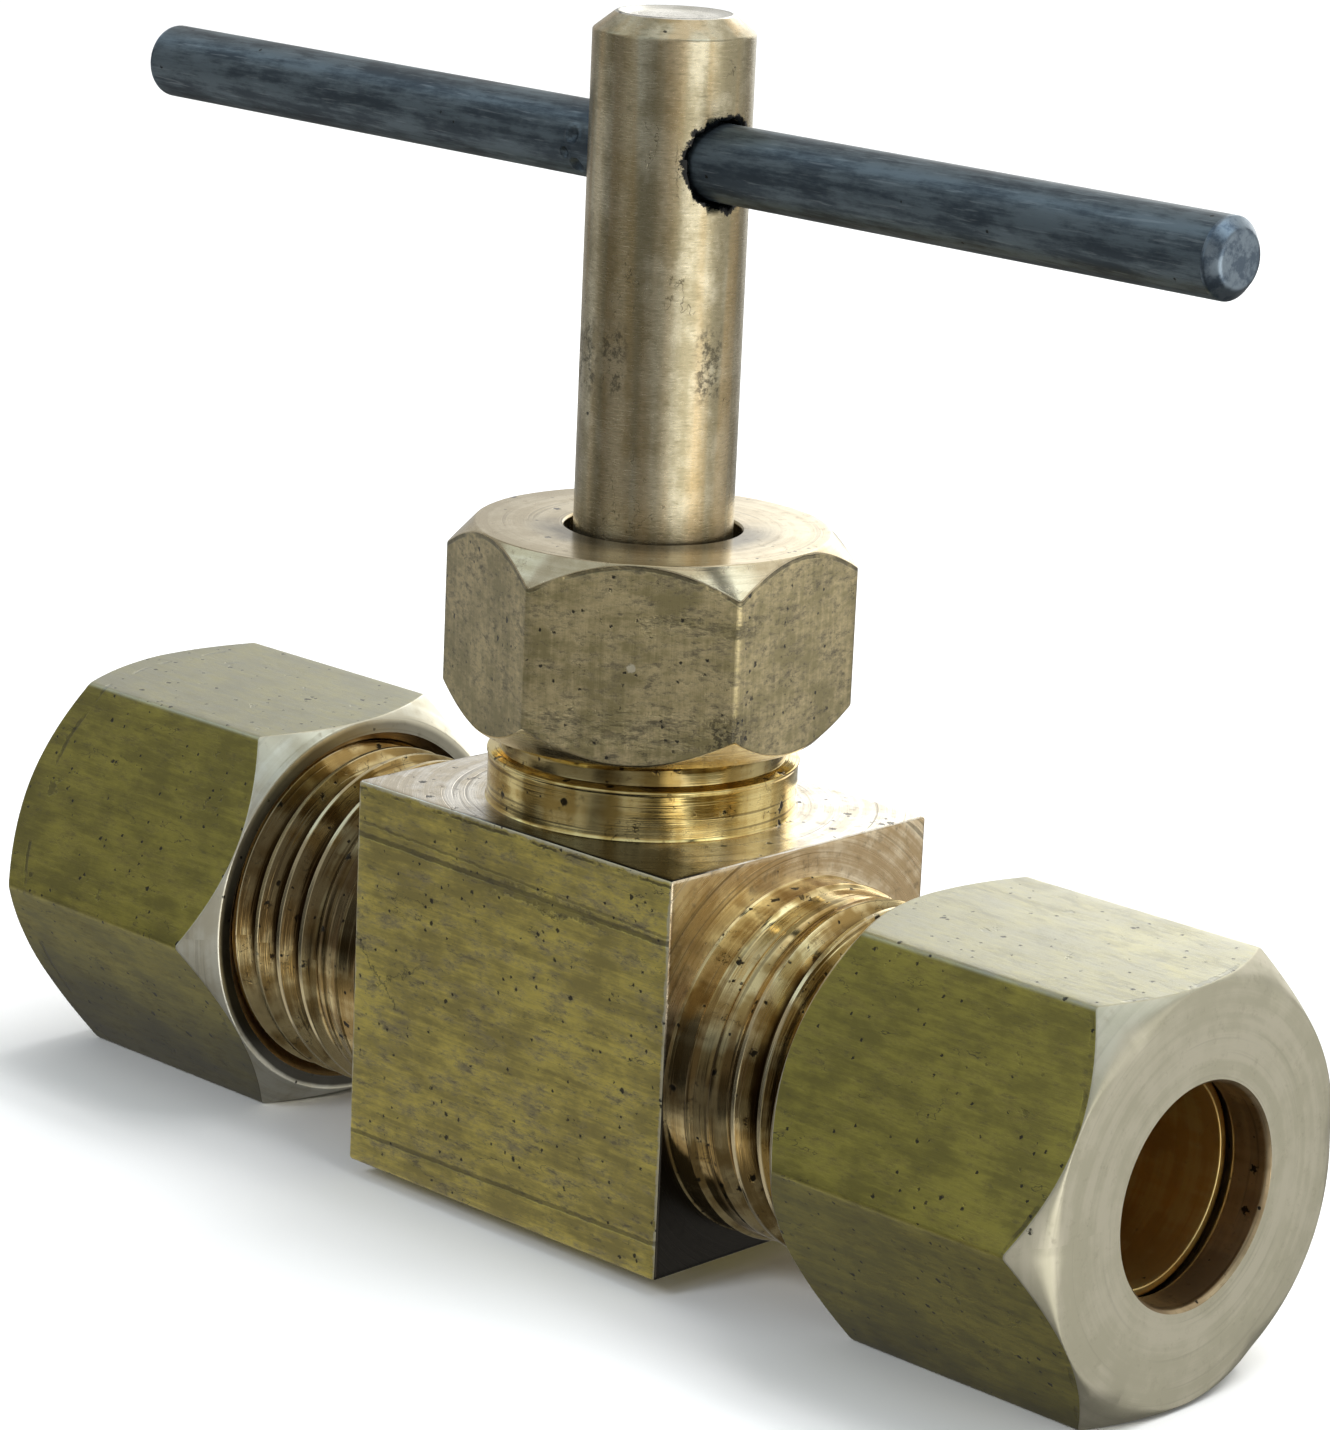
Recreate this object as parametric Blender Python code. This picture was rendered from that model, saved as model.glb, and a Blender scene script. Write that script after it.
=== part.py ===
"""Needle valve for quarter-inch tube.

A brass block carries a compression joint on each side and a screwed stem with a tee bar on top.
Metres, +Z up. The run axis lies along X, the inlet is at -X and the outlet at +X.
The origin is the centre of the block's underside. Heights are above the run axis.
"""

import math

import bmesh
import bpy
from mathutils import Matrix

# Tube, and the clearances of what it passes through
TUBE_RADIUS = 0.003175
SOCKET_CLEARANCE = 0.000075
FERRULE_CLEARANCE = 0.000045
NUT_HOLE_CLEARANCE = 0.000135

# General fits
RUNNING_CLEARANCE = 0.0001
FACE_GAP = 0.0002
PASSING_GAP = 0.00015

# Screw threads. The tube thread stands 3/32 in outside the tube.
COARSE_PITCH = 0.0254 / 24
STEM_PITCH = 0.0254 / 28
TUBE_THREAD_WALL = 0.002381
STEM_THREAD_STEP = 0.000725
PACKING_THREAD_WALL = 0.001313

# Block, as the metal left around the tube thread
BLOCK_LENGTH = 0.01362
BLOCK_SIDE_WALL = 0.00008
BLOCK_FLOOR_WALL = 0.0004
BLOCK_ROOF_WALL = 0.001
BLOCK_EDGE = 0.00015

# Compression bosses on the block
BOSS_SHOULDER_LENGTH = 0.0010
BOSS_LENGTH = 0.0088
BOSS_END_CHAMFER = 0.0003
SOCKET_DEPTH = 0.0052
SEAT_HALF_ANGLE = math.radians(15)

# Flow passages, the orifice between them and the seat
PASSAGE_RADIUS = 0.0012
PASSAGE_OFFSET = 0.0018
PASSAGE_OVERRUN = 0.0006
ORIFICE_RADIUS = 0.0011
ORIFICE_OVERRUN = 0.0003
SEAT_HEIGHT = -0.0001
SEAT_DEPTH = 0.0010
CHAMBER_RADIUS = 0.0026
THREAD_START = 0.0012

# Packing boss
PACKING_NECK_STEP = 0.00004
PACKING_NECK_LENGTH = 0.00155
PACKING_BOSS_LENGTH = 0.00564
PACKING_WIDTH = 0.0010
PACKING_CHAMBER_DEPTH = 0.0042

# Compression nuts
NUT_WALL = 0.000794
NUT_LENGTH = 0.0106
NUT_CHAMFER = 0.0010
NUT_LAND = 0.0013
NUT_RIM = 0.00025
NUT_MOUTH = 0.00044
NUT_CLOCK = math.radians(2.37)
INLET_ENGAGEMENT = 0.0031
OUTLET_ENGAGEMENT = 0.0038

# Ferrules, as wall thickness over the tube's bore
FERRULE_LENGTH = 0.0060
FERRULE_END_WALL = 0.00028
FERRULE_MIDDLE_WALL = 0.00088
FERRULE_TAPER = 0.0020

# Stem and tee bar
STEM_RADIUS = 0.00245
STEM_RISE = 0.01578
STEM_TOP_CHAMFER = 0.00075
STEM_BOTTOM = 0.0016
STEM_NOSE_RADIUS = 0.0022
STEM_THREAD_START = 0.0026
STEM_THREAD_LENGTH = 0.0026
BAR_DROP = 0.00438
BAR_RADIUS = 0.001174
BAR_LENGTH = 0.04566
BAR_SHIFT = -0.00095
BAR_TURN = math.radians(-1.44)
BAR_CHAMFER = 0.0003
BAR_HOLE_CLEARANCE = 0.00013

# Needle tip, which swivels in the end of the stem
NEEDLE_HALF_ANGLE = math.radians(20)
NEEDLE_END_RADIUS = 0.00035
NEEDLE_SEAT_CLEARANCE = 0.00006
NEEDLE_COLLAR_RADIUS = 0.0015
NECK_RADIUS = 0.0010
HEAD_RADIUS = 0.0014
HEAD_HEIGHT = 0.0011
LIP_LENGTH = 0.0006

# Packing nut and the packing under it
PACKING_NUT_WALL = 0.000737
PACKING_NUT_HEIGHT = 0.00622
PACKING_NUT_ENGAGEMENT = 0.0032
PACKING_NUT_CLOCK = math.radians(39.0)
PACKING_NUT_CHAMFER = 0.0009
PACKING_NUT_ROOF = 0.00157
PACKING_NUT_MOUTH = 0.0003
PACKING_NUT_HOLE_CLEARANCE = 0.00027
GLAND_SLEEVE_LENGTH = 0.0009
GLAND_FLANGE_HEIGHT = 0.0009
GLAND_WALL_GAP = 0.00015
GLAND_BORE_CLEARANCE = 0.00015
WASHER_HEIGHT = 0.0006
PACKING_RING_HEIGHT = 0.00115

# Sizes that follow from the ones above
TUBE_THREAD_RADIUS = TUBE_RADIUS + TUBE_THREAD_WALL
STEM_THREAD_RADIUS = STEM_RADIUS + STEM_THREAD_STEP
PACKING_CHAMBER_RADIUS = STEM_RADIUS + PACKING_WIDTH
PACKING_THREAD_RADIUS = PACKING_CHAMBER_RADIUS + PACKING_THREAD_WALL
BLOCK_DEPTH = 2 * (TUBE_THREAD_RADIUS + BLOCK_SIDE_WALL)
RUN_HEIGHT = TUBE_THREAD_RADIUS + BLOCK_FLOOR_WALL
BLOCK_TOP = TUBE_THREAD_RADIUS + BLOCK_ROOF_WALL
BLOCK_FACE = BLOCK_LENGTH / 2
BOSS_END = BLOCK_FACE + BOSS_LENGTH
SOCKET_RADIUS = TUBE_RADIUS + SOCKET_CLEARANCE
NUT_HOLE_RADIUS = TUBE_RADIUS + NUT_HOLE_CLEARANCE
NUT_ACROSS_FLATS = 2 * (TUBE_THREAD_RADIUS + NUT_WALL)
FERRULE_BORE_RADIUS = TUBE_RADIUS + FERRULE_CLEARANCE
FERRULE_END_RADIUS = FERRULE_BORE_RADIUS + FERRULE_END_WALL
FERRULE_MIDDLE_RADIUS = FERRULE_BORE_RADIUS + FERRULE_MIDDLE_WALL
SEAT_MOUTH_RADIUS = FERRULE_MIDDLE_RADIUS + RUNNING_CLEARANCE
PACKING_BOSS_END = BLOCK_TOP + PACKING_BOSS_LENGTH
PACKING_FLOOR = PACKING_BOSS_END - PACKING_CHAMBER_DEPTH
PACKING_NUT_ACROSS_FLATS = 2 * (PACKING_THREAD_RADIUS + PACKING_NUT_WALL)
PACKING_NUT_START = PACKING_BOSS_END - PACKING_NUT_ENGAGEMENT
PACKING_NUT_TOP = PACKING_NUT_START + PACKING_NUT_HEIGHT
WASHER_START = PACKING_FLOOR + FACE_GAP
LOWER_RING_START = WASHER_START + WASHER_HEIGHT + FACE_GAP
UPPER_RING_START = LOWER_RING_START + PACKING_RING_HEIGHT + FACE_GAP
GLAND_START = UPPER_RING_START + PACKING_RING_HEIGHT + FACE_GAP
STEM_TOP = PACKING_NUT_TOP + STEM_RISE
BAR_HEIGHT = STEM_TOP - BAR_DROP
HEAD_START = STEM_BOTTOM + LIP_LENGTH + PASSING_GAP

ROUND_STEPS = 40
CUT_OVERRUN = 0.001
WELD_DISTANCE = 1e-7
SMOOTH_ANGLE = math.radians(30)

BRASS = ((0.56, 0.42, 0.17, 1.0), 0.32, 1.0)
WORN_BRASS = ((0.47, 0.38, 0.19, 1.0), 0.42, 1.0)
STEEL = ((0.20, 0.21, 0.23, 1.0), 0.38, 1.0)
GRAPHITE = ((0.03, 0.03, 0.03, 1.0), 0.70, 0.0)


def clear_scene():
    for obj in list(bpy.data.objects):
        bpy.data.objects.remove(obj)


def thread_body(major_radius, pitch):
    """Radius half way down a 60 degree thread, where a plain cylinder stands for it."""
    return major_radius - pitch * math.sqrt(3) / 2 * 3 / 8


def corner_radius(across_flats):
    return across_flats / math.sqrt(3)


def metal(name, finish):
    colour, roughness, metallic = finish
    material = bpy.data.materials.new(name)
    material.use_nodes = True
    shader = material.node_tree.nodes["Principled BSDF"]
    shader.inputs["Base Color"].default_value = colour
    shader.inputs["Roughness"].default_value = roughness
    shader.inputs["Metallic"].default_value = metallic
    return material


def upright():
    """Places a piece on the stem axis, with its local origin where the two axes cross."""
    return Matrix.Translation((0, 0, RUN_HEIGHT))


def outward_turn(side):
    """Turns local Z to +X (side 1) or -X (side -1), and local X to +Y."""
    return Matrix(((0, 0, side), (1, 0, 0), (0, side, 0))).to_4x4()


def outward(side):
    """Places a piece on the run axis with its local Z pointing away from the block."""
    return upright() @ outward_turn(side)


def along_bar():
    """Places a piece on the tee bar's axis, with its local Z along the bar."""
    lift = Matrix.Translation((0, 0, BAR_HEIGHT))
    return lift @ upright() @ Matrix.Rotation(BAR_TURN, 4, "Z") @ outward_turn(1)


def finish_object(name, bm, place):
    bmesh.ops.recalc_face_normals(bm, faces=bm.faces)
    mesh = bpy.data.meshes.new(name)
    bm.to_mesh(mesh)
    bm.free()
    mesh.shade_smooth()
    mesh.set_sharp_from_angle(angle=SMOOTH_ANGLE)
    obj = bpy.data.objects.new(name, mesh)
    bpy.context.scene.collection.objects.link(obj)
    obj.matrix_world = place
    return obj


def turned(name, outline, place):
    """A solid turned about local Z from (radius, height) points.

    An outline that starts and ends on the axis makes a full solid, any other one a ring.
    """
    bm = bmesh.new()
    verts = [bm.verts.new((radius, 0, height)) for radius, height in outline]
    pairs = list(zip(verts, verts[1:]))
    if outline[0][0] > 0:
        pairs.append((verts[-1], verts[0]))
    edges = [bm.edges.new(pair) for pair in pairs]
    bmesh.ops.spin(bm, geom=verts + edges, cent=(0, 0, 0), axis=(0, 0, 1),
                   angle=2 * math.pi, steps=ROUND_STEPS, use_merge=True)
    bmesh.ops.remove_doubles(bm, verts=bm.verts, dist=WELD_DISTANCE)
    return finish_object(name, bm, place)


def rod_outline(radius, start, end):
    return [(0, start), (radius, start), (radius, end), (0, end)]


def ring_outline(inner, outer, start, end):
    return [(inner, start), (outer, start), (outer, end), (inner, end)]


def hex_prism(name, across_flats, clock, start, end, place):
    """A hexagonal prism along local Z with one corner at the clock angle from local X."""
    radius = corner_radius(across_flats)
    angles = [clock + math.radians(60) * corner for corner in range(6)]
    bm = bmesh.new()
    verts = [bm.verts.new((radius * math.cos(a), radius * math.sin(a), start)) for a in angles]
    base = bm.faces.new(verts)
    raised = bmesh.ops.extrude_face_region(bm, geom=[base], use_keep_orig=True)
    top = [item for item in raised["geom"] if isinstance(item, bmesh.types.BMVert)]
    bmesh.ops.translate(bm, verts=top, vec=(0, 0, end - start))
    return finish_object(name, bm, place)


def combine(obj, tool, operation):
    """Joins, cuts or trims obj with a hidden tool body."""
    tool.hide_render = True
    tool.display_type = "WIRE"
    change = obj.modifiers.new(tool.name, "BOOLEAN")
    change.operation = operation
    change.solver = "EXACT"
    change.object = tool


def paint(obj, finish):
    obj.data.materials.append(metal(obj.name, finish))


def block():
    bm = bmesh.new()
    bmesh.ops.create_cube(bm, size=1)
    height = RUN_HEIGHT + BLOCK_TOP
    bmesh.ops.scale(bm, verts=bm.verts, vec=(BLOCK_LENGTH, BLOCK_DEPTH, height))
    bmesh.ops.translate(bm, verts=bm.verts, vec=(0, 0, BLOCK_TOP - height / 2))
    obj = finish_object("valve_body", bm, upright())
    edge = obj.modifiers.new("edge", "BEVEL")
    edge.width = BLOCK_EDGE
    edge.segments = 1
    return obj


def compression_boss(name, side):
    thread = thread_body(TUBE_THREAD_RADIUS, COARSE_PITCH)
    shoulder_end = BLOCK_FACE + BOSS_SHOULDER_LENGTH
    outline = [
        (0, 0),
        (TUBE_THREAD_RADIUS, 0),
        (TUBE_THREAD_RADIUS, shoulder_end),
        (thread, shoulder_end),
        (thread, BOSS_END - BOSS_END_CHAMFER),
        (thread - BOSS_END_CHAMFER, BOSS_END),
        (0, BOSS_END),
    ]
    return turned(name, outline, outward(side))


def packing_boss():
    thread = thread_body(PACKING_THREAD_RADIUS, COARSE_PITCH)
    neck = PACKING_THREAD_RADIUS + PACKING_NECK_STEP
    neck_end = BLOCK_TOP + PACKING_NECK_LENGTH
    outline = [
        (0, 0),
        (neck, 0),
        (neck, neck_end),
        (thread, neck_end),
        (thread, PACKING_BOSS_END - BOSS_END_CHAMFER),
        (thread - BOSS_END_CHAMFER, PACKING_BOSS_END),
        (0, PACKING_BOSS_END),
    ]
    return turned("packing_boss", outline, upright())


def tube_socket(name, side):
    """The straight socket for the tube and the cone that the ferrule is pressed into."""
    slope = math.tan(SEAT_HALF_ANGLE)
    bottom = BOSS_END - SOCKET_DEPTH
    cone_start = BOSS_END - (SEAT_MOUTH_RADIUS - SOCKET_RADIUS) / slope
    outline = [
        (0, bottom),
        (SOCKET_RADIUS, bottom),
        (SOCKET_RADIUS, cone_start),
        (SEAT_MOUTH_RADIUS + CUT_OVERRUN * slope, BOSS_END + CUT_OVERRUN),
        (0, BOSS_END + CUT_OVERRUN),
    ]
    return turned(name, outline, outward(side))


def flow_passage(name, side, height, inner_end):
    """A drilled hole beside the run axis, from the socket's floor inwards to inner_end."""
    socket_floor = BOSS_END - SOCKET_DEPTH
    place = Matrix.Translation((0, 0, height)) @ outward(side)
    return turned(name, rod_outline(PASSAGE_RADIUS, inner_end, socket_floor + PASSAGE_OVERRUN), place)


def stem_bore():
    """Orifice, conical seat, stem thread and packing chamber, as one stepped bore."""
    thread = thread_body(STEM_THREAD_RADIUS, STEM_PITCH) + RUNNING_CLEARANCE
    outline = [
        (0, -PASSAGE_OFFSET),
        (ORIFICE_RADIUS, -PASSAGE_OFFSET),
        (ORIFICE_RADIUS, SEAT_HEIGHT),
        (CHAMBER_RADIUS, SEAT_HEIGHT + SEAT_DEPTH),
        (CHAMBER_RADIUS, THREAD_START),
        (thread, THREAD_START),
        (thread, PACKING_FLOOR),
        (PACKING_CHAMBER_RADIUS, PACKING_FLOOR),
        (PACKING_CHAMBER_RADIUS, PACKING_BOSS_END + CUT_OVERRUN),
        (0, PACKING_BOSS_END + CUT_OVERRUN),
    ]
    return turned("stem_bore", outline, upright())


def valve_body():
    body = block()
    combine(body, compression_boss("inlet_boss", -1), "UNION")
    combine(body, compression_boss("outlet_boss", 1), "UNION")
    combine(body, packing_boss(), "UNION")
    combine(body, tube_socket("inlet_socket", -1), "DIFFERENCE")
    combine(body, tube_socket("outlet_socket", 1), "DIFFERENCE")
    combine(body, stem_bore(), "DIFFERENCE")
    past_orifice = -ORIFICE_RADIUS - ORIFICE_OVERRUN
    low = flow_passage("inlet_passage", -1, -PASSAGE_OFFSET, past_orifice)
    high = flow_passage("outlet_passage", 1, PASSAGE_OFFSET, 0)
    combine(body, low, "DIFFERENCE")
    combine(body, high, "DIFFERENCE")
    paint(body, WORN_BRASS)


def nut_start(engagement):
    """Distance from the stem axis to the nut's threaded mouth."""
    return BOSS_END - engagement


def compression_nut(name, side, engagement):
    """Hexagonal nut: a turned blank with chamfers and its stepped bore, trimmed to six flats."""
    start = nut_start(engagement)
    end = start + NUT_LENGTH
    corner = corner_radius(NUT_ACROSS_FLATS)
    bore = thread_body(TUBE_THREAD_RADIUS, COARSE_PITCH) + RUNNING_CLEARANCE
    shoulder = end - NUT_LAND
    outline = [
        (bore + NUT_MOUTH, start),
        (corner - NUT_CHAMFER, start),
        (corner, start + NUT_CHAMFER),
        (corner, end - NUT_CHAMFER),
        (corner - NUT_CHAMFER, end),
        (NUT_HOLE_RADIUS + NUT_RIM, end),
        (NUT_HOLE_RADIUS, end - NUT_RIM),
        (NUT_HOLE_RADIUS, shoulder),
        (bore, shoulder - (bore - NUT_HOLE_RADIUS)),
        (bore, start + NUT_MOUTH),
    ]
    nut = turned(name, outline, outward(side))
    flats = hex_prism(name + "_flats", NUT_ACROSS_FLATS, side * NUT_CLOCK,
                      start - CUT_OVERRUN, end + CUT_OVERRUN, outward(side))
    combine(nut, flats, "INTERSECT")
    paint(nut, BRASS)


def ferrule(name, side, engagement):
    """Double-tapered compression ring, held just short of the nut's 45 degree shoulder."""
    shoulder = nut_start(engagement) + NUT_LENGTH - NUT_LAND
    back = shoulder - (FERRULE_END_RADIUS - NUT_HOLE_RADIUS) - FACE_GAP
    front = back - FERRULE_LENGTH
    outline = [
        (FERRULE_BORE_RADIUS, front),
        (FERRULE_END_RADIUS, front),
        (FERRULE_MIDDLE_RADIUS, front + FERRULE_TAPER),
        (FERRULE_MIDDLE_RADIUS, back - FERRULE_TAPER),
        (FERRULE_END_RADIUS, back),
        (FERRULE_BORE_RADIUS, back),
    ]
    paint(turned(name, outline, outward(side)), BRASS)


def needle_tip():
    """Cone that closes the orifice, with a neck and a head held in the stem's pocket."""
    slope = math.tan(NEEDLE_HALF_ANGLE)
    point = SEAT_HEIGHT - (ORIFICE_RADIUS - NEEDLE_SEAT_CLEARANCE) / slope
    collar_top = STEM_BOTTOM - FACE_GAP
    outline = [
        (0, point + NEEDLE_END_RADIUS / slope),
        (NEEDLE_END_RADIUS, point + NEEDLE_END_RADIUS / slope),
        (NEEDLE_COLLAR_RADIUS, point + NEEDLE_COLLAR_RADIUS / slope),
        (NEEDLE_COLLAR_RADIUS, collar_top),
        (NECK_RADIUS, collar_top),
        (NECK_RADIUS, HEAD_START),
        (HEAD_RADIUS, HEAD_START),
        (HEAD_RADIUS, HEAD_START + HEAD_HEIGHT),
        (0, HEAD_START + HEAD_HEIGHT),
    ]
    paint(turned("needle_tip", outline, upright()), STEEL)


def needle_stem():
    thread = thread_body(STEM_THREAD_RADIUS, STEM_PITCH)
    thread_end = STEM_THREAD_START + STEM_THREAD_LENGTH
    pocket_floor = HEAD_START + HEAD_HEIGHT + PASSING_GAP
    lip_top = STEM_BOTTOM + LIP_LENGTH
    outline = [
        (0, pocket_floor),
        (HEAD_RADIUS + PASSING_GAP, pocket_floor),
        (HEAD_RADIUS + PASSING_GAP, lip_top),
        (NECK_RADIUS + PASSING_GAP, lip_top),
        (NECK_RADIUS + PASSING_GAP, STEM_BOTTOM),
        (STEM_NOSE_RADIUS, STEM_BOTTOM),
        (STEM_NOSE_RADIUS, STEM_THREAD_START),
        (thread, STEM_THREAD_START),
        (thread, thread_end),
        (STEM_RADIUS, thread_end),
        (STEM_RADIUS, STEM_TOP - STEM_TOP_CHAMFER),
        (STEM_RADIUS - STEM_TOP_CHAMFER, STEM_TOP),
        (0, STEM_TOP),
    ]
    stem = turned("needle_stem", outline, upright())
    reach = STEM_RADIUS + CUT_OVERRUN
    hole = turned("bar_hole", rod_outline(BAR_RADIUS + BAR_HOLE_CLEARANCE, -reach, reach), along_bar())
    combine(stem, hole, "DIFFERENCE")
    paint(stem, WORN_BRASS)


def tee_bar():
    low = BAR_SHIFT - BAR_LENGTH / 2
    high = BAR_SHIFT + BAR_LENGTH / 2
    outline = [
        (0, low),
        (BAR_RADIUS - BAR_CHAMFER, low),
        (BAR_RADIUS, low + BAR_CHAMFER),
        (BAR_RADIUS, high - BAR_CHAMFER),
        (BAR_RADIUS - BAR_CHAMFER, high),
        (0, high),
    ]
    paint(turned("tee_bar", outline, along_bar()), STEEL)


def packing_nut():
    corner = corner_radius(PACKING_NUT_ACROSS_FLATS)
    bore = thread_body(PACKING_THREAD_RADIUS, COARSE_PITCH) + RUNNING_CLEARANCE
    hole = STEM_RADIUS + PACKING_NUT_HOLE_CLEARANCE
    start = PACKING_NUT_START
    outline = [
        (bore + PACKING_NUT_MOUTH, start),
        (corner - PACKING_NUT_CHAMFER, start),
        (corner, start + PACKING_NUT_CHAMFER),
        (corner, PACKING_NUT_TOP - PACKING_NUT_CHAMFER),
        (corner - PACKING_NUT_CHAMFER, PACKING_NUT_TOP),
        (hole, PACKING_NUT_TOP),
        (hole, PACKING_NUT_TOP - PACKING_NUT_ROOF),
        (bore, PACKING_NUT_TOP - PACKING_NUT_ROOF),
        (bore, start + PACKING_NUT_MOUTH),
    ]
    nut = turned("packing_nut", outline, upright())
    flats = hex_prism("packing_nut_flats", PACKING_NUT_ACROSS_FLATS, PACKING_NUT_CLOCK,
                      start - CUT_OVERRUN, PACKING_NUT_TOP + CUT_OVERRUN, upright())
    combine(nut, flats, "INTERSECT")
    paint(nut, BRASS)


def gland_follower():
    """Flanged bush between the packing nut's roof and the packing."""
    bore = STEM_RADIUS + GLAND_BORE_CLEARANCE
    sleeve = PACKING_CHAMBER_RADIUS - GLAND_WALL_GAP
    flange = thread_body(PACKING_THREAD_RADIUS, COARSE_PITCH) - GLAND_WALL_GAP
    flange_start = GLAND_START + GLAND_SLEEVE_LENGTH
    flange_end = flange_start + GLAND_FLANGE_HEIGHT
    outline = [
        (bore, GLAND_START),
        (sleeve, GLAND_START),
        (sleeve, flange_start),
        (flange, flange_start),
        (flange, flange_end),
        (bore, flange_end),
    ]
    paint(turned("gland_follower", outline, upright()), BRASS)


def chamber_ring(name, start, height, finish):
    """A ring that fills the packing chamber around the stem."""
    inner = STEM_RADIUS + RUNNING_CLEARANCE
    outer = PACKING_CHAMBER_RADIUS - RUNNING_CLEARANCE
    paint(turned(name, ring_outline(inner, outer, start, start + height), upright()), finish)


def main():
    clear_scene()
    valve_body()
    for name, side, engagement in (("inlet", -1, INLET_ENGAGEMENT), ("outlet", 1, OUTLET_ENGAGEMENT)):
        compression_nut(name + "_nut", side, engagement)
        ferrule(name + "_ferrule", side, engagement)
    needle_tip()
    needle_stem()
    tee_bar()
    packing_nut()
    gland_follower()
    chamber_ring("packing_ring_upper", UPPER_RING_START, PACKING_RING_HEIGHT, GRAPHITE)
    chamber_ring("packing_ring_lower", LOWER_RING_START, PACKING_RING_HEIGHT, GRAPHITE)
    chamber_ring("packing_washer", WASHER_START, WASHER_HEIGHT, BRASS)


main()
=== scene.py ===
"""Looks of the needle valve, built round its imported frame.

Lengths in this file are in millimetres. Local shapes are measured from the point where the stem axis
crosses the run axis, and join_patches turns them into metres in the frame's own place.
"""

import math

import bmesh
import bpy
import numpy as np
from mathutils import Matrix, Vector


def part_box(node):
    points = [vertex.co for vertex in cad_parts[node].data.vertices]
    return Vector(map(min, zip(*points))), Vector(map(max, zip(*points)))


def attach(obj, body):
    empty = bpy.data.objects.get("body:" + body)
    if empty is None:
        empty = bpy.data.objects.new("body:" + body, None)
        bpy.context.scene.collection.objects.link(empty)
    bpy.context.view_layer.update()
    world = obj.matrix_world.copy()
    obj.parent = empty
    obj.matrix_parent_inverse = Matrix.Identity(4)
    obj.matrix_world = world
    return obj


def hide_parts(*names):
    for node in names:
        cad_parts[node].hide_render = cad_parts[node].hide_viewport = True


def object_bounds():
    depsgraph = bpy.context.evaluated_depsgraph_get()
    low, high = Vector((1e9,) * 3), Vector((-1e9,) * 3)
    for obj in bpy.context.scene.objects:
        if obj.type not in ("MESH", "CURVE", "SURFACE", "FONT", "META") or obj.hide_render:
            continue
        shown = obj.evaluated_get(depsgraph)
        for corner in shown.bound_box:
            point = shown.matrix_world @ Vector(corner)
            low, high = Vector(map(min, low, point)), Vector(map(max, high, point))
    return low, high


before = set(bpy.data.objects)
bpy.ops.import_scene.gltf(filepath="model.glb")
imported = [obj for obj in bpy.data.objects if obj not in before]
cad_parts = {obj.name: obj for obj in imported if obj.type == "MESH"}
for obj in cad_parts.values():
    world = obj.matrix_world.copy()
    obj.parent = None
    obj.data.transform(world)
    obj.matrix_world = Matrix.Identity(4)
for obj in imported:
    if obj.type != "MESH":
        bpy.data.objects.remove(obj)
cad_low, cad_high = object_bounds()

MM = 0.001
TURN = 2 * math.pi
WELD = 1e-7
SHARP = math.radians(28)
INCH = 25.4


def span(node, axis):
    """Lowest and highest place of a CAD node along one axis, in millimetres."""
    low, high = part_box(node)
    return low[axis] / MM, high[axis] / MM


# ---- Places taken from the frame -----------------------------------------------------------------
RUN_HEIGHT = sum(span("outlet_nut", 2)) / 2
BLOCK_BACK = span("valve_body", 1)[1]
BOSS_END = span("valve_body", 0)[1]
PACKING_BOSS_END = span("valve_body", 2)[1] - RUN_HEIGHT
PACKING_NUT_START, PACKING_NUT_TOP = (height - RUN_HEIGHT for height in span("packing_nut", 2))
STEM_BOTTOM, STEM_TOP = (height - RUN_HEIGHT for height in span("needle_stem", 2))
NUT_END = span("outlet_nut", 0)[1]
BAR_LOW, BAR_HIGH = span("tee_bar", 0)
BAR_HEIGHT = sum(span("tee_bar", 2)) / 2 - RUN_HEIGHT
BAR_RADIUS = (span("tee_bar", 2)[1] - span("tee_bar", 2)[0]) / 2

# ---- Block and bosses ----------------------------------------------------------------------------
BLOCK_FACE = 6.81
BLOCK_TOP = 6.556
BLOCK_FILLET = 0.12
PITCH = INCH / 24
TUBE_CREST = 5.49
TUBE_ROOT = 4.93
SOCKET_RADIUS = 3.25
SOCKET_FLOOR = BOSS_END - 5.2
SEAT_MOUTH = 4.2
SEAT_SLOPE = math.tan(math.radians(15))
PASSAGE_RADIUS = 1.2
PASSAGE_OFFSET = 1.8
PACKING_CREST = 4.70
PACKING_ROOT = 4.17
THREAD_GAP = 0.09

# ---- Nuts, ferrules, stem and bar ----------------------------------------------------------------
NUT_FLATS = 12.7
NUT_HOLE = 3.31
NUT_MOUTH = 5.85
NUT_LAND = 1.3
NUT_CLOCK = math.radians(2.37)
PACKING_NUT_FLATS = 11.0
PACKING_NUT_CLOCK = math.radians(39.0)
PACKING_NUT_HOLE = 2.72
PACKING_NUT_ROOF = 1.57
NICK_PLACE = (3.46, -4.27, 12.05)
FERRULE_BORE = 3.22
FERRULE_END = 3.5
FERRULE_MIDDLE = 4.1
STEM_RADIUS = 2.45
BAR_TURN = math.radians(-1.44)
BAR_HOLE = 1.31


# ---- Surfaces ------------------------------------------------------------------------------------
def corners(*points):
    """Profile points (along the axis, radius) as an array of points by one column by two."""
    return np.array(points, float)[:, None, :]


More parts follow.
